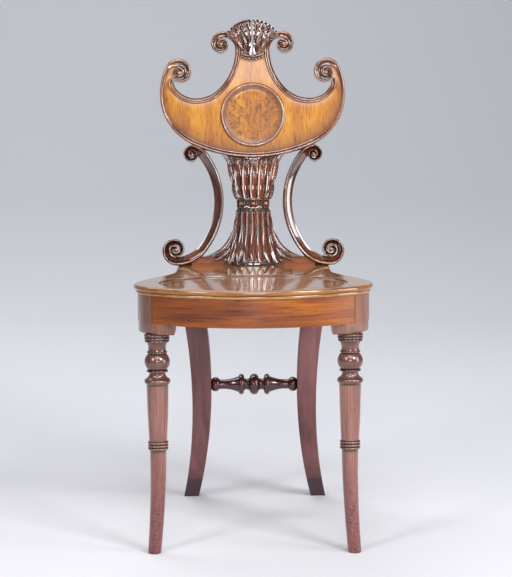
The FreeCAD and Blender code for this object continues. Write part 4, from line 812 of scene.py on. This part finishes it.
def panel_mouldings(flip):
    """The worked edges and scrolls of one half of the panel. Eased angles are degrees past a scroll's
    root."""
    skins = []
    for track, root, eye_reach in ((horn_track, horn_root, 4.4), (neck_track, NECK_ROOT, 4.2)):
        past = track.turn - root
        rim = EDGE * (1 - 0.6 * ease(past, 120, 400))
        curl = ease(past, -30, 50)
        narrow = horn_narrows(track.turn) if track is horn_track else 0 * past
        width = MOULD_WIDTH - (MOULD_WIDTH - BEAD_WIDTH) * narrow
        width = width + (np.maximum(track.room(rim) - TURN_GAP, TURN_LEAST) - width) * curl
        single = narrow[:, None]
        mix = curl[:, None] if track is horn_track else np.ones((len(past), 1))
        front = (DOUBLE_REED * (1 - single) + SINGLE_BEAD * single) * (1 - mix) + REED_AND_HOLLOW * mix
        dark = (REED_LINES * (1 - single) + BEAD_LINES * single) * (1 - mix) + HOLLOW_LINES * mix
        # Painted shade that fills the hollow's channel as the scroll curls in
        dark = np.maximum(dark, 0.9 * HOLLOW_SHADE * ease(past, 25, 100)[:, None])
        size = 0.4 + 0.6 * shrunk(past)
        across, behind, up, hollow = band(track, rim, width, front, dark, size, PANEL_THICK)
        skins.append(skin(on_back(flip * across, behind, up), hollow=hollow))
        across, behind, up = ground(track, root + 20, GROUND_SINK, PANEL_THICK)
        skins.append(skin(on_back(flip * across, behind, up), hollow=GROUND_SHADE))
        skins.append(eye(track.eye, eye_reach, 4.0, flip))
    front = REED_AND_HOLLOW * np.ones((len(under_track.turn), 1))
    across, behind, up, hollow = band(under_track, EDGE, MOULD_WIDTH, front, HOLLOW_LINES, 1, PANEL_THICK)
    skins.append(skin(on_back(flip * across, behind, up), hollow=hollow))
    return skins


def spread_along(line, count):
    """Points spaced evenly along a line, read off its coordinates against the length run so far."""
    step = np.concatenate([[0], np.cumsum(np.linalg.norm(np.diff(line, axis=0), axis=1))])
    at = np.linspace(0, step[-1], count)
    return np.stack([np.interp(at, step, line[:, axis]) for axis in range(2)], axis=1)


def there_and_back(front):
    """Each row of a grid followed by itself backwards: a section's front and then its rear."""
    return np.concatenate([front, front[:, ::-1]], axis=1)


def front_and_rear(front, rear):
    """Each row of a grid followed by as many points with a rear value."""
    return np.concatenate([front, rear + 0 * front], axis=1)


NECK_TOP = 425
PARTING = 52
TUCK, BEAD_TUCK = 3, 4.2
FIELD_SINK = 3.0
LOW_DARK_REACH, TOP_SHEEN_REACH = 13, 5
NECK_SHEEN, TIP_SHEEN, TIP_ACROSS = (308, 350), (322, 346), (125, 145)


def panel_field():
    """The board between the mouldings: straight lines from its lower to its upper edge, matched part by part
    from the middle out to the horn. It marks how near each point is to the lower edge, above 0, where it is
    darker, and to the upper edge, below 0, where a pale sheen is painted, by exp(-d / reach) of the distance
    d.
    Neck and horn tips count as near the top and get the painted sheen too."""
    inside = horn_track.turn <= horn_root + 40
    low_turn = horn_track.turn[inside]
    low = horn_track.offset(BEAD_TUCK * horn_narrows(horn_track.turn) - TUCK)[inside]
    neck = neck_track.offset(TUCK)[neck_track.turn <= 90][::-1]
    top = np.array([[0, NECK_TOP], [neck[0, 0], NECK_TOP]])
    uppers = [spread_along(np.concatenate([top, neck[neck[:, 0] < PARTING]]), 30),
              spread_along(neck[neck[:, 0] >= PARTING], 24),
              spread_along(under_track.offset(TUCK), 30), np.repeat(horn_track.eye[None], 12, axis=0)]
    side_turn, tip_turn = low_angle + 12, horn_root - 12
    splits = [low[low[:, 0] <= PARTING], low[(low[:, 0] >= PARTING) & (low_turn <= side_turn)],
              low[(low_turn >= side_turn) & (low_turn <= tip_turn)], low[low_turn >= tip_turn]]
    lower = np.concatenate([spread_along(part, len(upper)) for part, upper in zip(splits, uppers)])
    upper = np.concatenate(uppers)
    sunk = np.concatenate([np.linspace(0, FIELD_SINK, 18), np.full(8, FIELD_SINK)])
    sink = np.concatenate([np.zeros(len(upper) - len(sunk)), sunk])
    upper, lower = [np.concatenate([line[:0:-1] * [-1, 1], line]) for line in (upper, lower)]
    sink = np.concatenate([sink[:0:-1], sink])[:, None]
    share = np.linspace(0, 1, 41)
    length = np.linalg.norm(upper - lower, axis=1)[:, None]
    face = lower[:, None] + (upper - lower)[:, None] * share[:, None]
    across, up = face[..., 0], face[..., 1]
    by_low = 0.95 * np.exp(-share * length / LOW_DARK_REACH)
    # Painted sheen near the upper edge, on the neck and at the horn tips, as a share below 0
    by_top = 0.8 * np.exp(-(1 - share) * length / TOP_SHEEN_REACH) * (sink < 1)
    on_neck = 0.42 * ease(up, *NECK_SHEEN)
    on_tips = 0.4 * ease(up, *TIP_SHEEN) * ease(np.abs(across), *TIP_ACROSS)
    near = by_low - by_top - on_neck - on_tips
    behind = front_and_rear(sink + 0 * share, PANEL_THICK)
    points = on_back(there_and_back(across), behind, there_and_back(up))
    return skin(points, hollow=front_and_rear(near, 0))


# The panel's mouldings: redder and darker than its face, with painted shade in every line
moulding_wood = mahogany("moulded_mahogany", ("#5e3220", "#93593d", "#c28a68"), Z_AXIS, 0.17, 1.0, 0.05,
                         "#140806", coat_ior=1.8)
# The panel's face: honey-coloured under a thick clear polish, browner low down, with a painted pale sheen
# along the top
field_wood = mahogany("golden_mahogany", ("#9a500a", "#cb7f16", "#e9aa38"), Z_AXIS, 0.3, 0.25, 0.18,
                      "#4f2208", 0.3)
tree = field_wood.node_tree
near_edge = add(tree, "ShaderNodeAttribute", attribute_name="hollow").outputs["Fac"]
# Painted sheen: a pale colour laid where the field's share is below 0
painted_sheen = add(tree, "ShaderNodeMapRange",
            {"Value": near_edge, "From Min": 0, "From Max": -1, "To Max": 0.8})
overlay_colour(field_wood, painted_sheen, "#ceb3a4")
field = make_piece("panel_field", [panel_field()], field_wood)
mouldings = make_piece("panel_mouldings", panel_mouldings(1) + panel_mouldings(-1), moulding_wood)
for piece, slot in ((field, "panel"), (mouldings, "carving")):
    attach(piece, "root")
    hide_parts("back_panel")


# Roundel
# A ring turned in mahogany with a bead and a quirk, glued to the panel's face. Inside it lies a disc of
# burr veneer, glued flat and swept up a little to the ring all round.
ROUNDEL_LEVEL = 274
DISC_RADIUS, DISC_SWEEP, DISC_FACE, DISC_BACK = 53.4, 1.9, 0.4, 4.5
DISC_TURN, DISC_RIM_SHADE = (41, 55), (44, 52)
# Radius and rise along the ring's section, from its outer edge over the bead, and how much painted shade each
# point has
ring_line = np.array([
    [59.0, 0.2], [58.9, 0.9], [58.4, 1.2], [58.0, 0.7], [57.7, 1.8], [57.0, 3.2], [56.0, 3.9],
    [54.9, 3.9], [54.0, 3.2], [53.5, 2.2], [53.2, 1.6], [53.0, 1.0], [53.0, -0.6], [58.8, -0.6]])
ring_dark = np.array([0.6, 0.4, 0.5, 1, 0.5, 0, 0, 0, 0, 0.5, 1, 1, 1, 1])
ring_radius, ring_rise = ring_line.T
around = turn_angles[:, None]
ring_points = on_back(ring_radius * np.cos(around), -ring_rise, ROUNDEL_LEVEL + ring_radius * np.sin(around))
# Turned mahogany, paler than the panel's other mouldings
ring_wood = mahogany("turned_mahogany", ("#85513a", "#b78365", "#dcae90"), Z_AXIS, 0.17, 1.0, 0.05,
                     "#140806", coat_ior=1.8)
roundel = make_piece("roundel_moulding", [skin(ring_points, looped=True, hollow=ring_dark)], ring_wood)
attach(roundel, "root")
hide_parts("roundel_ring")

disc_ring = np.concatenate([np.linspace(1, DISC_RADIUS, 40), [DISC_RADIUS]])[:, None]
disc_rise = DISC_SWEEP * ease(disc_ring, *DISC_TURN) ** 1.5 + DISC_FACE
disc_rise[-1] = -DISC_BACK
# Painted shade in a band round the disc's rim, where it sweeps up to the ring
disc_dark = 0.8 * ease(disc_ring, *DISC_RIM_SHADE)
disc_points = on_back(disc_ring * np.cos(turn_angles), -disc_rise,
                      ROUNDEL_LEVEL + disc_ring * np.sin(turn_angles))
# Burr veneer: the grain runs every way, so the colour gathers in small clouds and dark knots
burr = mahogany("burr_veneer", ("#8f5116", "#c67c28", "#e2a24a"), Z_AXIS, 0.32, 0.4, 0.2, "#5a4340", 0.1)
tree = burr.node_tree
spot = add(tree, "ShaderNodeTexCoord").outputs["Object"]
for cloud_size, start, end, code in ((13, 0.46, 0.64, "#63320d"), (4.5, 0.52, 0.66, "#4a230a")):
    clouds = add(tree, "ShaderNodeTexNoise", {"Vector": spot, "Scale": 1 / (cloud_size * MILLIMETRE),
                                              "Detail": 5, "Distortion": 1.5})
    share = add(tree, "ShaderNodeMapRange",
                {"Value": clouds, "From Min": start, "From Max": end, "To Max": 0.75})
    overlay_colour(burr, share, code)
disc = make_piece("roundel_veneer", [skin(disc_points, hollow=disc_dark)], burr)
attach(disc, "root")
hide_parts("roundel_disc")


# C-scrolls
# Two scrolls sawn from thick mahogany and carved with a reed and hollow that curl in at both ends.
# Pegs hold them to the seat below and to the panel above.
SCROLL_VERTEX, SCROLL_MIDDLE, SCROLL_RADIUS = 53.5, 117, 147.5
SCROLL_THICK, SCROLL_SINK, STEM = 22, 6.0, 17
UPPER_ROOT, LOWER_ROOT = 80, 90
FOOT_START, FOOT_END = 62, 112
REED_SHARE, FALL_START, FALL_SHARE = 0.42, 0.43, 0.55
SEAT_CLEAR, EDGE_CLEAR = 0.05, 0.2
scroll_up = Track((SCROLL_VERTEX, SCROLL_MIDDLE), 90, -1,
                  [(36, SCROLL_RADIUS), (44, 40), (90, 16.5), (90, 14.5)] + quarters(11.8, 6))
scroll_down = Track((SCROLL_VERTEX, SCROLL_MIDDLE), -90, 1,
                    [(38, SCROLL_RADIUS), (52, 68)] + quarters(27, 9))


def set_on_seat(across, behind, up):
    """Keeps points above the seat's top, by lifting them, and outside the panel's round lower edge, by
    pushing them out along rays from that edge's centre."""
    up = np.maximum(up, behind * math.tan(LEAN) + SEAT_CLEAR)
    away = np.hypot(across - low_centre[0], up - low_centre[1])
    push = np.maximum((LOW_RADIUS + EDGE_CLEAR) / away, 1)
    across = low_centre[0] + (across - low_centre[0]) * push
    return across, behind, low_centre[1] + (up - low_centre[1]) * push


def reed_and_fall(share):
    """A half round, then a hollow that falls from it to the far edge by 1.35 s - 0.35 s^2 of the drop."""
    past = np.clip((share - FALL_START) / FALL_SHARE, 0, 1)
    reed = roll(share, 0.0, REED_SHARE, REED_RISE) - 0.3
    return reed - REED_RISE * (1.35 * past - 0.35 * past ** 2)


def scroll_half(track, root, flip):
    """One half of a scroll, from its middle to its eye. Eased angles are degrees past the scroll's root."""
    past = track.turn - root
    curl = ease(past, -45, 30)
    width = STEM + (np.maximum(track.room(0 * past) - TURN_GAP, TURN_LEAST) - STEM) * curl
    front = reed_and_fall(ACROSS) * np.ones((len(past), 1))
    # Painted shade along the reed's edges and in the falling hollow as the scroll curls in
    shade = 0.8 * roll(ACROSS, 0.45, 1.0, 1) * ease(past, 20, 110)[:, None]
    dark = np.maximum(grooves(ACROSS, 0.0, FALL_START), shade)
    size = 0.5 + 1.1 * shrunk(past)
    across, behind, up, hollow = band(track, 0, width, front, dark, size, SCROLL_THICK)
    across, behind, up = set_on_seat(across, behind, up)
    skins = [skin(on_back(flip * across, behind, up), hollow=hollow)]
    across, behind, up = set_on_seat(*ground(track, root + 30, SCROLL_SINK, SCROLL_THICK))
    skins.append(skin(on_back(flip * across, behind, up), hollow=GROUND_SHADE))
    return skins


def scroll_foot(flip):
    """The wood left under a scroll where it meets the seat: upright sections from the seat to the scroll's
    edge, half dark with painted shade."""
    edge = scroll_down.place[(scroll_down.turn > FOOT_START) & (scroll_down.turn < FOOT_END)]
    top = np.maximum(edge[:, 1] + 2, 0.6)[:, None]
    behind = np.broadcast_to([6.0, 2.0, SCROLL_THICK - 3, SCROLL_THICK - 3], (len(edge), 4))
    up = np.concatenate([0 * top, top, top, 0 * top], axis=1)
    across, behind, up = set_on_seat(edge[:, :1] + 0 * up, behind, up)
    return skin(on_back(flip * across, behind, up), hollow=0.5)


# Carved mahogany under many coats of dark polish, which light every rim with a small pale glint
carving_wood = mahogany("carved_mahogany", ("#35180f", "#663522", "#965738"), Z_AXIS, 0.16, 1.0, 0.05,
                        "#120706", coat_ior=1.85)
for flip, word in ((-1, "left"), (1, "right")):
    skins = scroll_half(scroll_up, UPPER_ROOT, flip) + scroll_half(scroll_down, LOWER_ROOT, flip)
    skins += [eye(scroll_up.eye, 3.6, 3.4, flip), eye(scroll_down.eye, 4.6, 4.2, flip), scroll_foot(flip)]
    scroll = make_piece(f"carved_scroll_{word}", skins, carving_wood)
    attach(scroll, "root")
    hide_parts(f"{word}_c_scroll")


# Scroll pegs
# Four turned pegs of pale wood with eased ends and a shallow groove that holds the glue. Two stand in the
# seat under the scrolls' feet, and two run from the scrolls into the panel's edge.
PEG_X, PEG_Y = 126.5, 151
PEG_LOW, PEG_RISE = 402, 9
PANEL_PEG_ANGLE, PANEL_PEG_IN, PANEL_PEG_OUT, PANEL_PEG_BEHIND = math.radians(20.8), 13, 6, 11
coarse_angles = turn_angles[::4]
peg_members = [(6.4, 7.8, 1.2, 0), (7.8, 7.8, 1, 0), (7.2, 7.2, 0.8, 0), (7.8, 7.8, 1, 0), (7.8, 6.4, 1.2, 0)]
peg_radius, peg_travel = [line[:, None] for line in turned(peg_members, 5)[:2]]
peg_share = peg_travel / peg_travel[-1]
aside = peg_radius * np.cos(coarse_angles)
to_rear = peg_radius * np.sin(coarse_angles)
seat_peg_level = PEG_LOW + (SEAT_TOP + PEG_RISE - PEG_LOW) * peg_share
panel_peg_away = LOW_RADIUS - PANEL_PEG_IN + (PANEL_PEG_IN + PANEL_PEG_OUT) * peg_share
sine, cosine = math.sin(PANEL_PEG_ANGLE), math.cos(PANEL_PEG_ANGLE)
pegs = []
for flip in (-1, 1):
    pegs.append(skin(points_of(flip * PEG_X + aside, PEG_Y + to_rear, seat_peg_level)))
    pegs.append(skin(on_back(flip * (panel_peg_away * sine + aside * cosine), PANEL_PEG_BEHIND + to_rear,
                             low_centre[1] - panel_peg_away * cosine + aside * sine)))
scroll_pegs = make_piece("scroll_pegs", pegs, pale_wood)
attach(scroll_pegs, "root")
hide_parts("scroll_dowels")


# Splat
# A sheaf of hollowed leaves carved from one mahogany block and tied in the middle by a band with three
# beads. It is pegged to the seat in front of the shoe and to the panel above.
TIE_LEVEL, TIE_TALL, TIE_HALF, TIE_PITCH = 112, 14.5, 29.5, 22.5
TIE_RISE, TIE_REAR = 6.6, 13.9
RIDGE_RISE, RIDGE_HALF = 2.6, 1.5
SOCKET, SOCKET_RIM, RIM_RISE, SOCKET_DEEP = 6.2, 1.0, 1.6, 2.5
BEAD_REACH, BEAD_DOME, BEAD_AHEAD = 5.3, 5.8, 6.4
tie_top, tie_low = TIE_LEVEL + TIE_TALL / 2, TIE_LEVEL - TIE_TALL / 2
LEAF_ACROSS = np.linspace(-1, 1, 21)
LEAF_ALONG = np.linspace(0, 1, 30)
# Spacing of the leaves across: above the tie at foot, middle and top, behind those, and below the tie
UPPER_PITCH = np.array([12.2, 14.8, 15.4])
REAR_PITCH = 8.6
LOWER_PITCH = np.array([9.2, 9.6, 15.2])


def free(across, behind, up):
    """Leaves points as they are."""
    return across, behind, up


def leaf(spine, half, lift, rise, dished=0.2, thick=5, held=set_on_seat):
    """A carved leaf: a spine of places across and up, half widths along it, the height of its edges and the
    rise of its rims. Its section is the rise times (1 - x^6)(a + (1 - a) x^2) scaled to 1, so that it is
    hollow along the middle and rounds over its rims."""
    along = np.gradient(spine, axis=0)
    along /= np.linalg.norm(along, axis=1, keepdims=True)
    normal = np.stack([along[:, 1], -along[:, 0]], axis=1)
    x = LEAF_ACROSS
    section = (1 - x ** 6) * (dished + (1 - dished) * x ** 2)
    section = section / section.max()
    lift, rise, half = [np.broadcast_to(value, len(spine))[:, None] for value in (lift, rise, half)]
    front = lift + rise * section
    back = lift - thick + np.zeros((len(spine), 3))
    offset = np.concatenate([half * x, half * np.array([0.7, 0, -0.7])], axis=1)
    place = spine[:, None, :] + normal[:, None, :] * offset[:, :, None]
    # Painted shade along the leaf's edges and on its back
    deep = np.concatenate([ease(np.abs(x), 0.8, 0.96), [1, 1, 1]]) * np.ones((len(spine), 1))
    across, behind, up = held(place[..., 0], -np.concatenate([front, back], axis=1), place[..., 1])
    return skin(on_back(across, behind, up), hollow=deep)


def bend(start, control, end):
    """A curve from a start to an end, drawn towards a control point: (1-t)^2 a + 2t(1-t) b + t^2 c."""
    t = LEAF_ALONG[:, None]
    return (1 - t) ** 2 * np.array(start) + 2 * t * (1 - t) * np.array(control) + t ** 2 * np.array(end)


def pointed(first, wide, start, end, tip):
    """Half widths of a leaf: they swell from the first to the wide between two shares and run to a point
    from the tip share on, with a rounded foot."""
    t = LEAF_ALONG
    foot = np.sqrt(np.clip(1 - (1 - np.clip(t / 0.07, 0, 1)) ** 2, 0.01, 1))
    point = np.clip((1 - t) / (1 - tip), 0.02, 1) ** 0.7
    return (first + (wide - first) * ease(t, start, end)) * foot * point


def panel_edge(across):
    """Level of the panel's lower edge at a place across the back."""
    return low_centre[1] - math.sqrt(LOW_RADIUS ** 2 - across ** 2)


def upper_leaves():
    """Five broad leaves above the tie, a second row behind them, and two swept leaves at each side."""
    t = LEAF_ALONG
    skins = []
    for index in range(-2, 3):
        turned_away = 1.0 - 0.055 * index ** 2
        foot, middle, top = UPPER_PITCH * index
        spine = bend((foot, tie_top + 0.6), (middle, tie_top + 22), (top, panel_edge(top) - 2))
        half = pointed(5.6, 7.6 * turned_away, 0.0, 0.3, 0.7)
        lift = 5.2 + 3.2 * np.sin(math.pi * np.clip(t, 0, 0.8)) - 0.9 * index ** 2
        skins.append(leaf(spine, half, lift, 3.4))
    for index in range(-5, 6, 2):
        top = REAR_PITCH * index
        spine = bend((0.75 * top, tie_top + 26), (0.9 * top, tie_top + 50), (top, panel_edge(top) - 0.6))
        skins.append(leaf(spine, pointed(4, 6.4, 0, 0.4, 0.75), 3.4 + 2.2 * t, 2.6))
    for flip in (-1, 1):
        for reach, start, bow_out in ((56, 28, 34.5), (46, 24, 31.5)):
            turning = (flip * bow_out, tie_top + 32)
            low_part = bend((flip * start, tie_top + 1), (flip * (bow_out + 2), tie_top + 8), turning)
            high_part = bend(turning, (flip * (bow_out - 1), panel_edge(reach) - 17),
                             (flip * reach, panel_edge(reach) - 1.5))
            spine = np.concatenate([low_part[::2], high_part[1::2]])
            skins.append(leaf(spine, pointed(2.8, 3.8, 0, 0.5, 0.85), 2.4 + 1.5 * t, 2.6))
    return skins


def lower_leaves():
    """Seven leaves below the tie, every second one in front, and three swept leaves at each side."""
    t = LEAF_ALONG
    skins = []
    for index in (-3, -1, 1, 3, -2, 0, 2):
        in_front = index % 2 == 0
        head, middle, toe = LOWER_PITCH * index
        spine = bend((head, tie_low - 0.6), (middle, 34), (toe, 1.2 + 0.3 * abs(index)))
        half = pointed(4.2, 9.0 if in_front else 7.2, 0.25, 0.7, 0.68 if in_front else 0.85)
        row = 2.4 if in_front else 0
        lift = 4.6 + row * ease(t, 0.1, 0.6) + 1.5 * t - 0.25 * index ** 2 * (1 - t)
        skins.append(leaf(spine, half, lift, 3.2))
    for flip in (-1, 1):
        for reach, low, start, top in ((90, 16.5, 30.5, 92), (72, 10, 29, 74), (56, 5, 28, 60)):
            spine = bend((flip * start, top), (flip * (start + 8), 14 + low * 0.3), (flip * reach, low))
            skins.append(leaf(spine, pointed(2.6, 4.2, 0, 0.6, 0.7), 2.4 + (90 - reach) * 0.05, 2.6))
    return skins


def splat_core():
    """The block behind the leaves: rings of a flat oval whose half width follows the cup and the bell."""
    level = np.array([0, 15.4, 15.8, 20, 26, 33, 44, 62, 84, 102, 106, 118, 122, 130, 142, 180, 191, 199])
    half = np.array([38, 44, 72, 65, 56, 46, 39, 33, 30, 29, 27, 27, 29, 31, 32, 33, 38, 50])
    rear = np.where(level < 15.6, 2.6, 14)
    fine = np.sort(np.concatenate([np.linspace(0, level[-1], 60), level]))[:, None]
    half = np.interp(fine, level, half)
    rear = np.interp(fine, level, rear)
    x = LEAF_ACROSS
    face = 6.2 - 2.9 * ease(fine, 0, 14) + 1.0 * ease(fine, 14, 60) - 3.4 * ease(fine, 160, 199)
    across = there_and_back(half * x)
    behind = front_and_rear(-face * np.sqrt(1 - 0.9 * x ** 2), rear)
    across, behind, up = set_on_seat(across, behind, fine + 0 * across)
    # Painted shade on the block behind the leaves, darker above its foot
    dark = front_and_rear(0.4 + 0.5 * ease(fine, 14, 60) + 0 * x, 0)
    return skin(on_back(across, behind, up), hollow=dark)


def splat_tie():
    """The band: a grid of heights with crossed ridges between the beads, and a domed bead in each socket."""
    u, v = np.meshgrid(np.linspace(-TIE_HALF, TIE_HALF, 101), np.linspace(-TIE_TALL / 2, TIE_TALL / 2, 25),
                       indexing="ij")
    beside = np.abs((u / TIE_PITCH + 0.5) % 1 - 0.5) * TIE_PITCH
    away = np.hypot(beside, v)
    cross = np.abs(np.abs(v) - np.abs(TIE_PITCH / 2 - beside) * 0.75)
    ridge = np.exp(-(cross / RIDGE_HALF) ** 2)
    rim = np.exp(-((away - SOCKET) / SOCKET_RIM) ** 2)
    rise = TIE_RISE + RIDGE_RISE * ridge + RIM_RISE * rim - SOCKET_DEEP * ease(-away, -5.4, -4.4)
    # Painted shade everywhere on the band but its ridges and socket rims
    deep = np.clip(1.1 - ridge - rim, 0, 1)
    points = on_back(there_and_back(u), front_and_rear(-rise, TIE_REAR), TIE_LEVEL + there_and_back(v))
    skins = [skin(points, hollow=front_and_rear(deep, 0))]
    for place in (-TIE_PITCH, 0, TIE_PITCH):
        skins.append(eye((place, TIE_LEVEL), BEAD_REACH, BEAD_DOME, 1, behind=-BEAD_AHEAD))
    return skins


sheaf = [splat_core()] + upper_leaves() + lower_leaves() + splat_tie()
splat = make_piece("carved_splat", sheaf, carving_wood)
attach(splat, "root")
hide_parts("reeded_splat")


# Palmette
# A fan of leaves carved in mahogany and polished with the rest of the carving. It is glued on the neck of
# the panel, and a collar with drops gathers it below.
CREST_TOP, CREST_REACH, CREST_SPREAD, CREST_REAR = 448, 57, 62, 12.0
SHELL_EDGE, SHELL_SWELL, RIM_DROP = 2.6, 3.4, 2.2
FLUTES, FLUTE_DEEP = 15, 1.3
COLLAR_LEVEL, COLLAR_HALF, COLLAR_RISE, COLLAR_ROUND, COLLAR_AHEAD = 380, 21, 5, 2.2, 6.5
DROPS, DROP_SPREAD = 7, 0.86
DROP_HALF, DROP_TALL, DROP_DEEP, DROP_HANG, DROP_AHEAD = 2.3, 3.2, 2.4, 4.6, 4.0
crest_heart = CREST_TOP - CREST_REACH


def crest_fan():
    """The fan: rays from its heart over a shell with a flat back. The shell swells by a sine along each ray
    and is fluted near its rim by a cosine across the rays."""
    turn = np.radians(np.linspace(90 - CREST_SPREAD, 90 + CREST_SPREAD, 157))[:, None]
    share = np.linspace(0, 1, 34)
    flute = np.cos((turn - math.pi / 2) / math.radians(2 * CREST_SPREAD) * 2 * math.pi * FLUTES)
    fluted = ease(share, 0.66, 0.86)
    rise = (SHELL_EDGE + SHELL_SWELL * np.sin(math.pi * share ** 0.8) + FLUTE_DEEP * flute * fluted
            - RIM_DROP * ease(share, 0.93, 1))
    # Painted shade in the troughs of the flutes
    deep = ease(-flute, 0.0, 1) * fluted
    across = CREST_REACH * share * np.cos(turn)
    up = crest_heart + CREST_REACH * share * np.sin(turn)
    points = on_back(there_and_back(across), front_and_rear(-rise, CREST_REAR), there_and_back(up))
    return skin(points, hollow=front_and_rear(deep, 0))


def crest_leaves():
    """A middle rib that spreads at its foot, and five pairs of leaves that rise and curl outwards."""
    t = LEAF_ALONG
    spine = bend((0, COLLAR_LEVEL + 2), (0, 415), (0, CREST_TOP - 1))
    skins = [leaf(spine, 7.2 - 5.4 * ease(t, 0.0, 0.42), 9.0 - 3.4 * t, 2.2, 0.3, 6, free)]
    pairs = [((8.5, 383), (6.5, 409), (21, 424), 4.4, 7.6), ((15.5, 385), (18, 405), (32, 414), 4.6, 6.4),
             ((3.5, 408), (6, 430), (17, 441), 3.4, 6.0), ((22, 397), (29, 412), (42, 422), 4.0, 4.0),
             ((16, 417), (22, 431), (33, 433), 3.4, 4.8)]
    for start, control, end, wide, lift in pairs:
        half = pointed(0.5 * wide, wide, 0.1, 0.6, 0.8)
        for flip in (-1, 1):
            spine = bend(start, control, end) * np.array([flip, 1])
            skins.append(leaf(spine, half, lift + 2.0 * np.sin(math.pi * t ** 1.6), 2.6, 0.15, 6, free))
    return skins


def collar_level(across):
    """Level of the collar at a place across: it rises to its ends by the square of the way there."""
    return COLLAR_LEVEL + COLLAR_RISE * (across / COLLAR_HALF) ** 2


def crest_collar():
    """A smiling roll of round section with drops hung along it."""
    around = coarse_angles
    across = np.linspace(-COLLAR_HALF, COLLAR_HALF, 40)[:, None]
    skins = [skin(on_back(across, -COLLAR_AHEAD - COLLAR_ROUND * np.cos(around),
                          collar_level(across) + COLLAR_ROUND * np.sin(around)))]
    turn = np.linspace(0.08, math.pi - 0.08, 9)[:, None]
    for place in np.linspace(-DROP_SPREAD, DROP_SPREAD, DROPS) * COLLAR_HALF:
        skins.append(skin(on_back(place + DROP_HALF * np.sin(turn) * np.cos(around),
                                  -DROP_AHEAD - DROP_DEEP * np.sin(turn) * np.sin(around),
                                  collar_level(place) - DROP_HANG + DROP_TALL * np.cos(turn))))
    return skins


palmette = make_piece("carved_palmette", [crest_fan()] + crest_leaves() + crest_collar(), carving_wood)
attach(palmette, "root")
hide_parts("crest_palmette")


# Studio
# A sheet of pale matt paper lies under the chair and turns up behind it, soft boxes stand round it, and
# the camera is at the photograph's place. Sizes and places in this section are in metres.
PAPER_HALF, PAPER_FRONT, PAPER_TALL = 7.0, -9.0, 5.0
SWEEP_START, SWEEP_RADIUS = 2.4, 1.6
PAPER_BACK = SWEEP_START + SWEEP_RADIUS


def paper_sweep():
    """A sheet carried along a line that runs level, turns up by a quarter circle and goes on upright."""
    turn = np.linspace(0, math.pi / 2, 24)
    depth = np.concatenate([[PAPER_FRONT], SWEEP_START + SWEEP_RADIUS * np.sin(turn), [PAPER_BACK]])
    height = np.concatenate([[0.0], SWEEP_RADIUS * (1 - np.cos(turn)), [PAPER_TALL]])
    points = points_of(np.array([-PAPER_HALF, PAPER_HALF]), depth[:, None], height[:, None])
    index = np.arange(len(depth) * 2).reshape(-1, 2)
    faces = np.stack([index[:-1, 0], index[:-1, 1], index[1:, 1], index[1:, 0]], axis=-1)
    mesh = bpy.data.meshes.new("paper_sweep")
    mesh.from_pydata(points.reshape(-1, 3).tolist(), [], faces.tolist())
    mesh.shade_smooth()
    return mesh


# Matt paper with no shine, its grey painted with light and shade: lightest where the sweep starts, darker up
# the wall
paper = bpy.data.materials.new("matt_paper")
paper.use_nodes = True
tree = paper.node_tree
tree.nodes.clear()
spot = add(tree, "ShaderNodeTexCoord").outputs["Object"]
back = add(tree, "ShaderNodeSeparateXYZ", {0: spot}).outputs["Y"]
way_back = add(tree, "ShaderNodeMapRange", {"Value": back, "From Min": 0.0, "From Max": PAPER_BACK})
# Painted light and shade along the paper, from the front to the wall
fall = add(tree, "ShaderNodeValToRGB", {"Fac": way_back},
           [(0.0, "#d0d0d5"), (0.6, "#dedfe4"), (0.85, "#bbbdc2"), (1.0, "#b5b7bc")])
shader = add(tree, "ShaderNodeBsdfPrincipled", {"Base Color": fall, "Roughness": 0.85})
add(tree, "ShaderNodeOutputMaterial", {"Surface": shader})
sweep = bpy.data.objects.new("paper_sweep", paper_sweep())
sweep.data.materials.append(paper)
bpy.context.scene.collection.objects.link(sweep)


def soft_box(name, place, aim, width, height, power):
    """An area light at a place, turned to face an aim, with its power in watts."""
    light = bpy.data.lights.new(name, "AREA")
    light.shape = "RECTANGLE"
    light.size = width
    light.size_y = height
    light.energy = power
    box = bpy.data.objects.new(name, light)
    away = np.array(place, float) - np.array(aim, float)
    pitch = math.atan2(math.hypot(away[0], away[1]), away[2])
    box.location = place
    box.rotation_euler = (pitch, 0, math.atan2(away[0], -away[1]))
    bpy.context.scene.collection.objects.link(box)


soft_box("top_box", (0.1, -2.1, 3.0), (0, 0.0, 0.4), 2.0, 1.0, 42)
soft_box("front_box", (0.1, -3.5, 0.98), (0, 0, 0.5), 0.9, 0.32, 24)
soft_box("high_box", (0.1, -3.5, 2.55), (0, 0, 0.8), 0.7, 0.35, 9)
soft_box("key_box", (1.9, -2.3, 2.3), (0, 0, 0.5), 1.0, 1.2, 80)
soft_box("window_box", (2.75, -1.05, 1.15), (0, 0, 0.6), 1.0, 2.0, 42)
soft_box("fill_box", (-1.9, -2.2, 2.1), (0, 0, 0.5), 0.7, 1.2, 38)
soft_box("wall_box", (-1.3, 1.2, 3.2), (-1.2, 2.6, 0), 3.0, 1.0, 58)
world = bpy.data.worlds.new("studio_air")
world.use_nodes = True
air = world.node_tree.nodes["Background"].inputs
air["Color"].default_value = colour("#dfe3ea")
air["Strength"].default_value = 0.25
bpy.context.scene.world = world
bpy.context.scene.view_settings.view_transform = "Standard"

CAMERA_PLACE = (0.0044, -2.8506, 0.7701)
CAMERA_PITCH, CAMERA_ROLL = 7.012, -0.3
FOCAL_PIXELS, PHOTO_TALL, SENSOR = 1659.1, 577, 36
camera = bpy.data.cameras.new("camera")
camera.lens = FOCAL_PIXELS * SENSOR / PHOTO_TALL
camera.sensor_width = SENSOR
camera_object = bpy.data.objects.new("camera", camera)
camera_object.location = CAMERA_PLACE
camera_object.rotation_euler = (math.radians(90 - CAMERA_PITCH), 0, 0)
camera_object.rotation_euler.rotate_axis("Z", math.radians(CAMERA_ROLL))
bpy.context.scene.collection.objects.link(camera_object)
bpy.context.scene.camera = camera_object
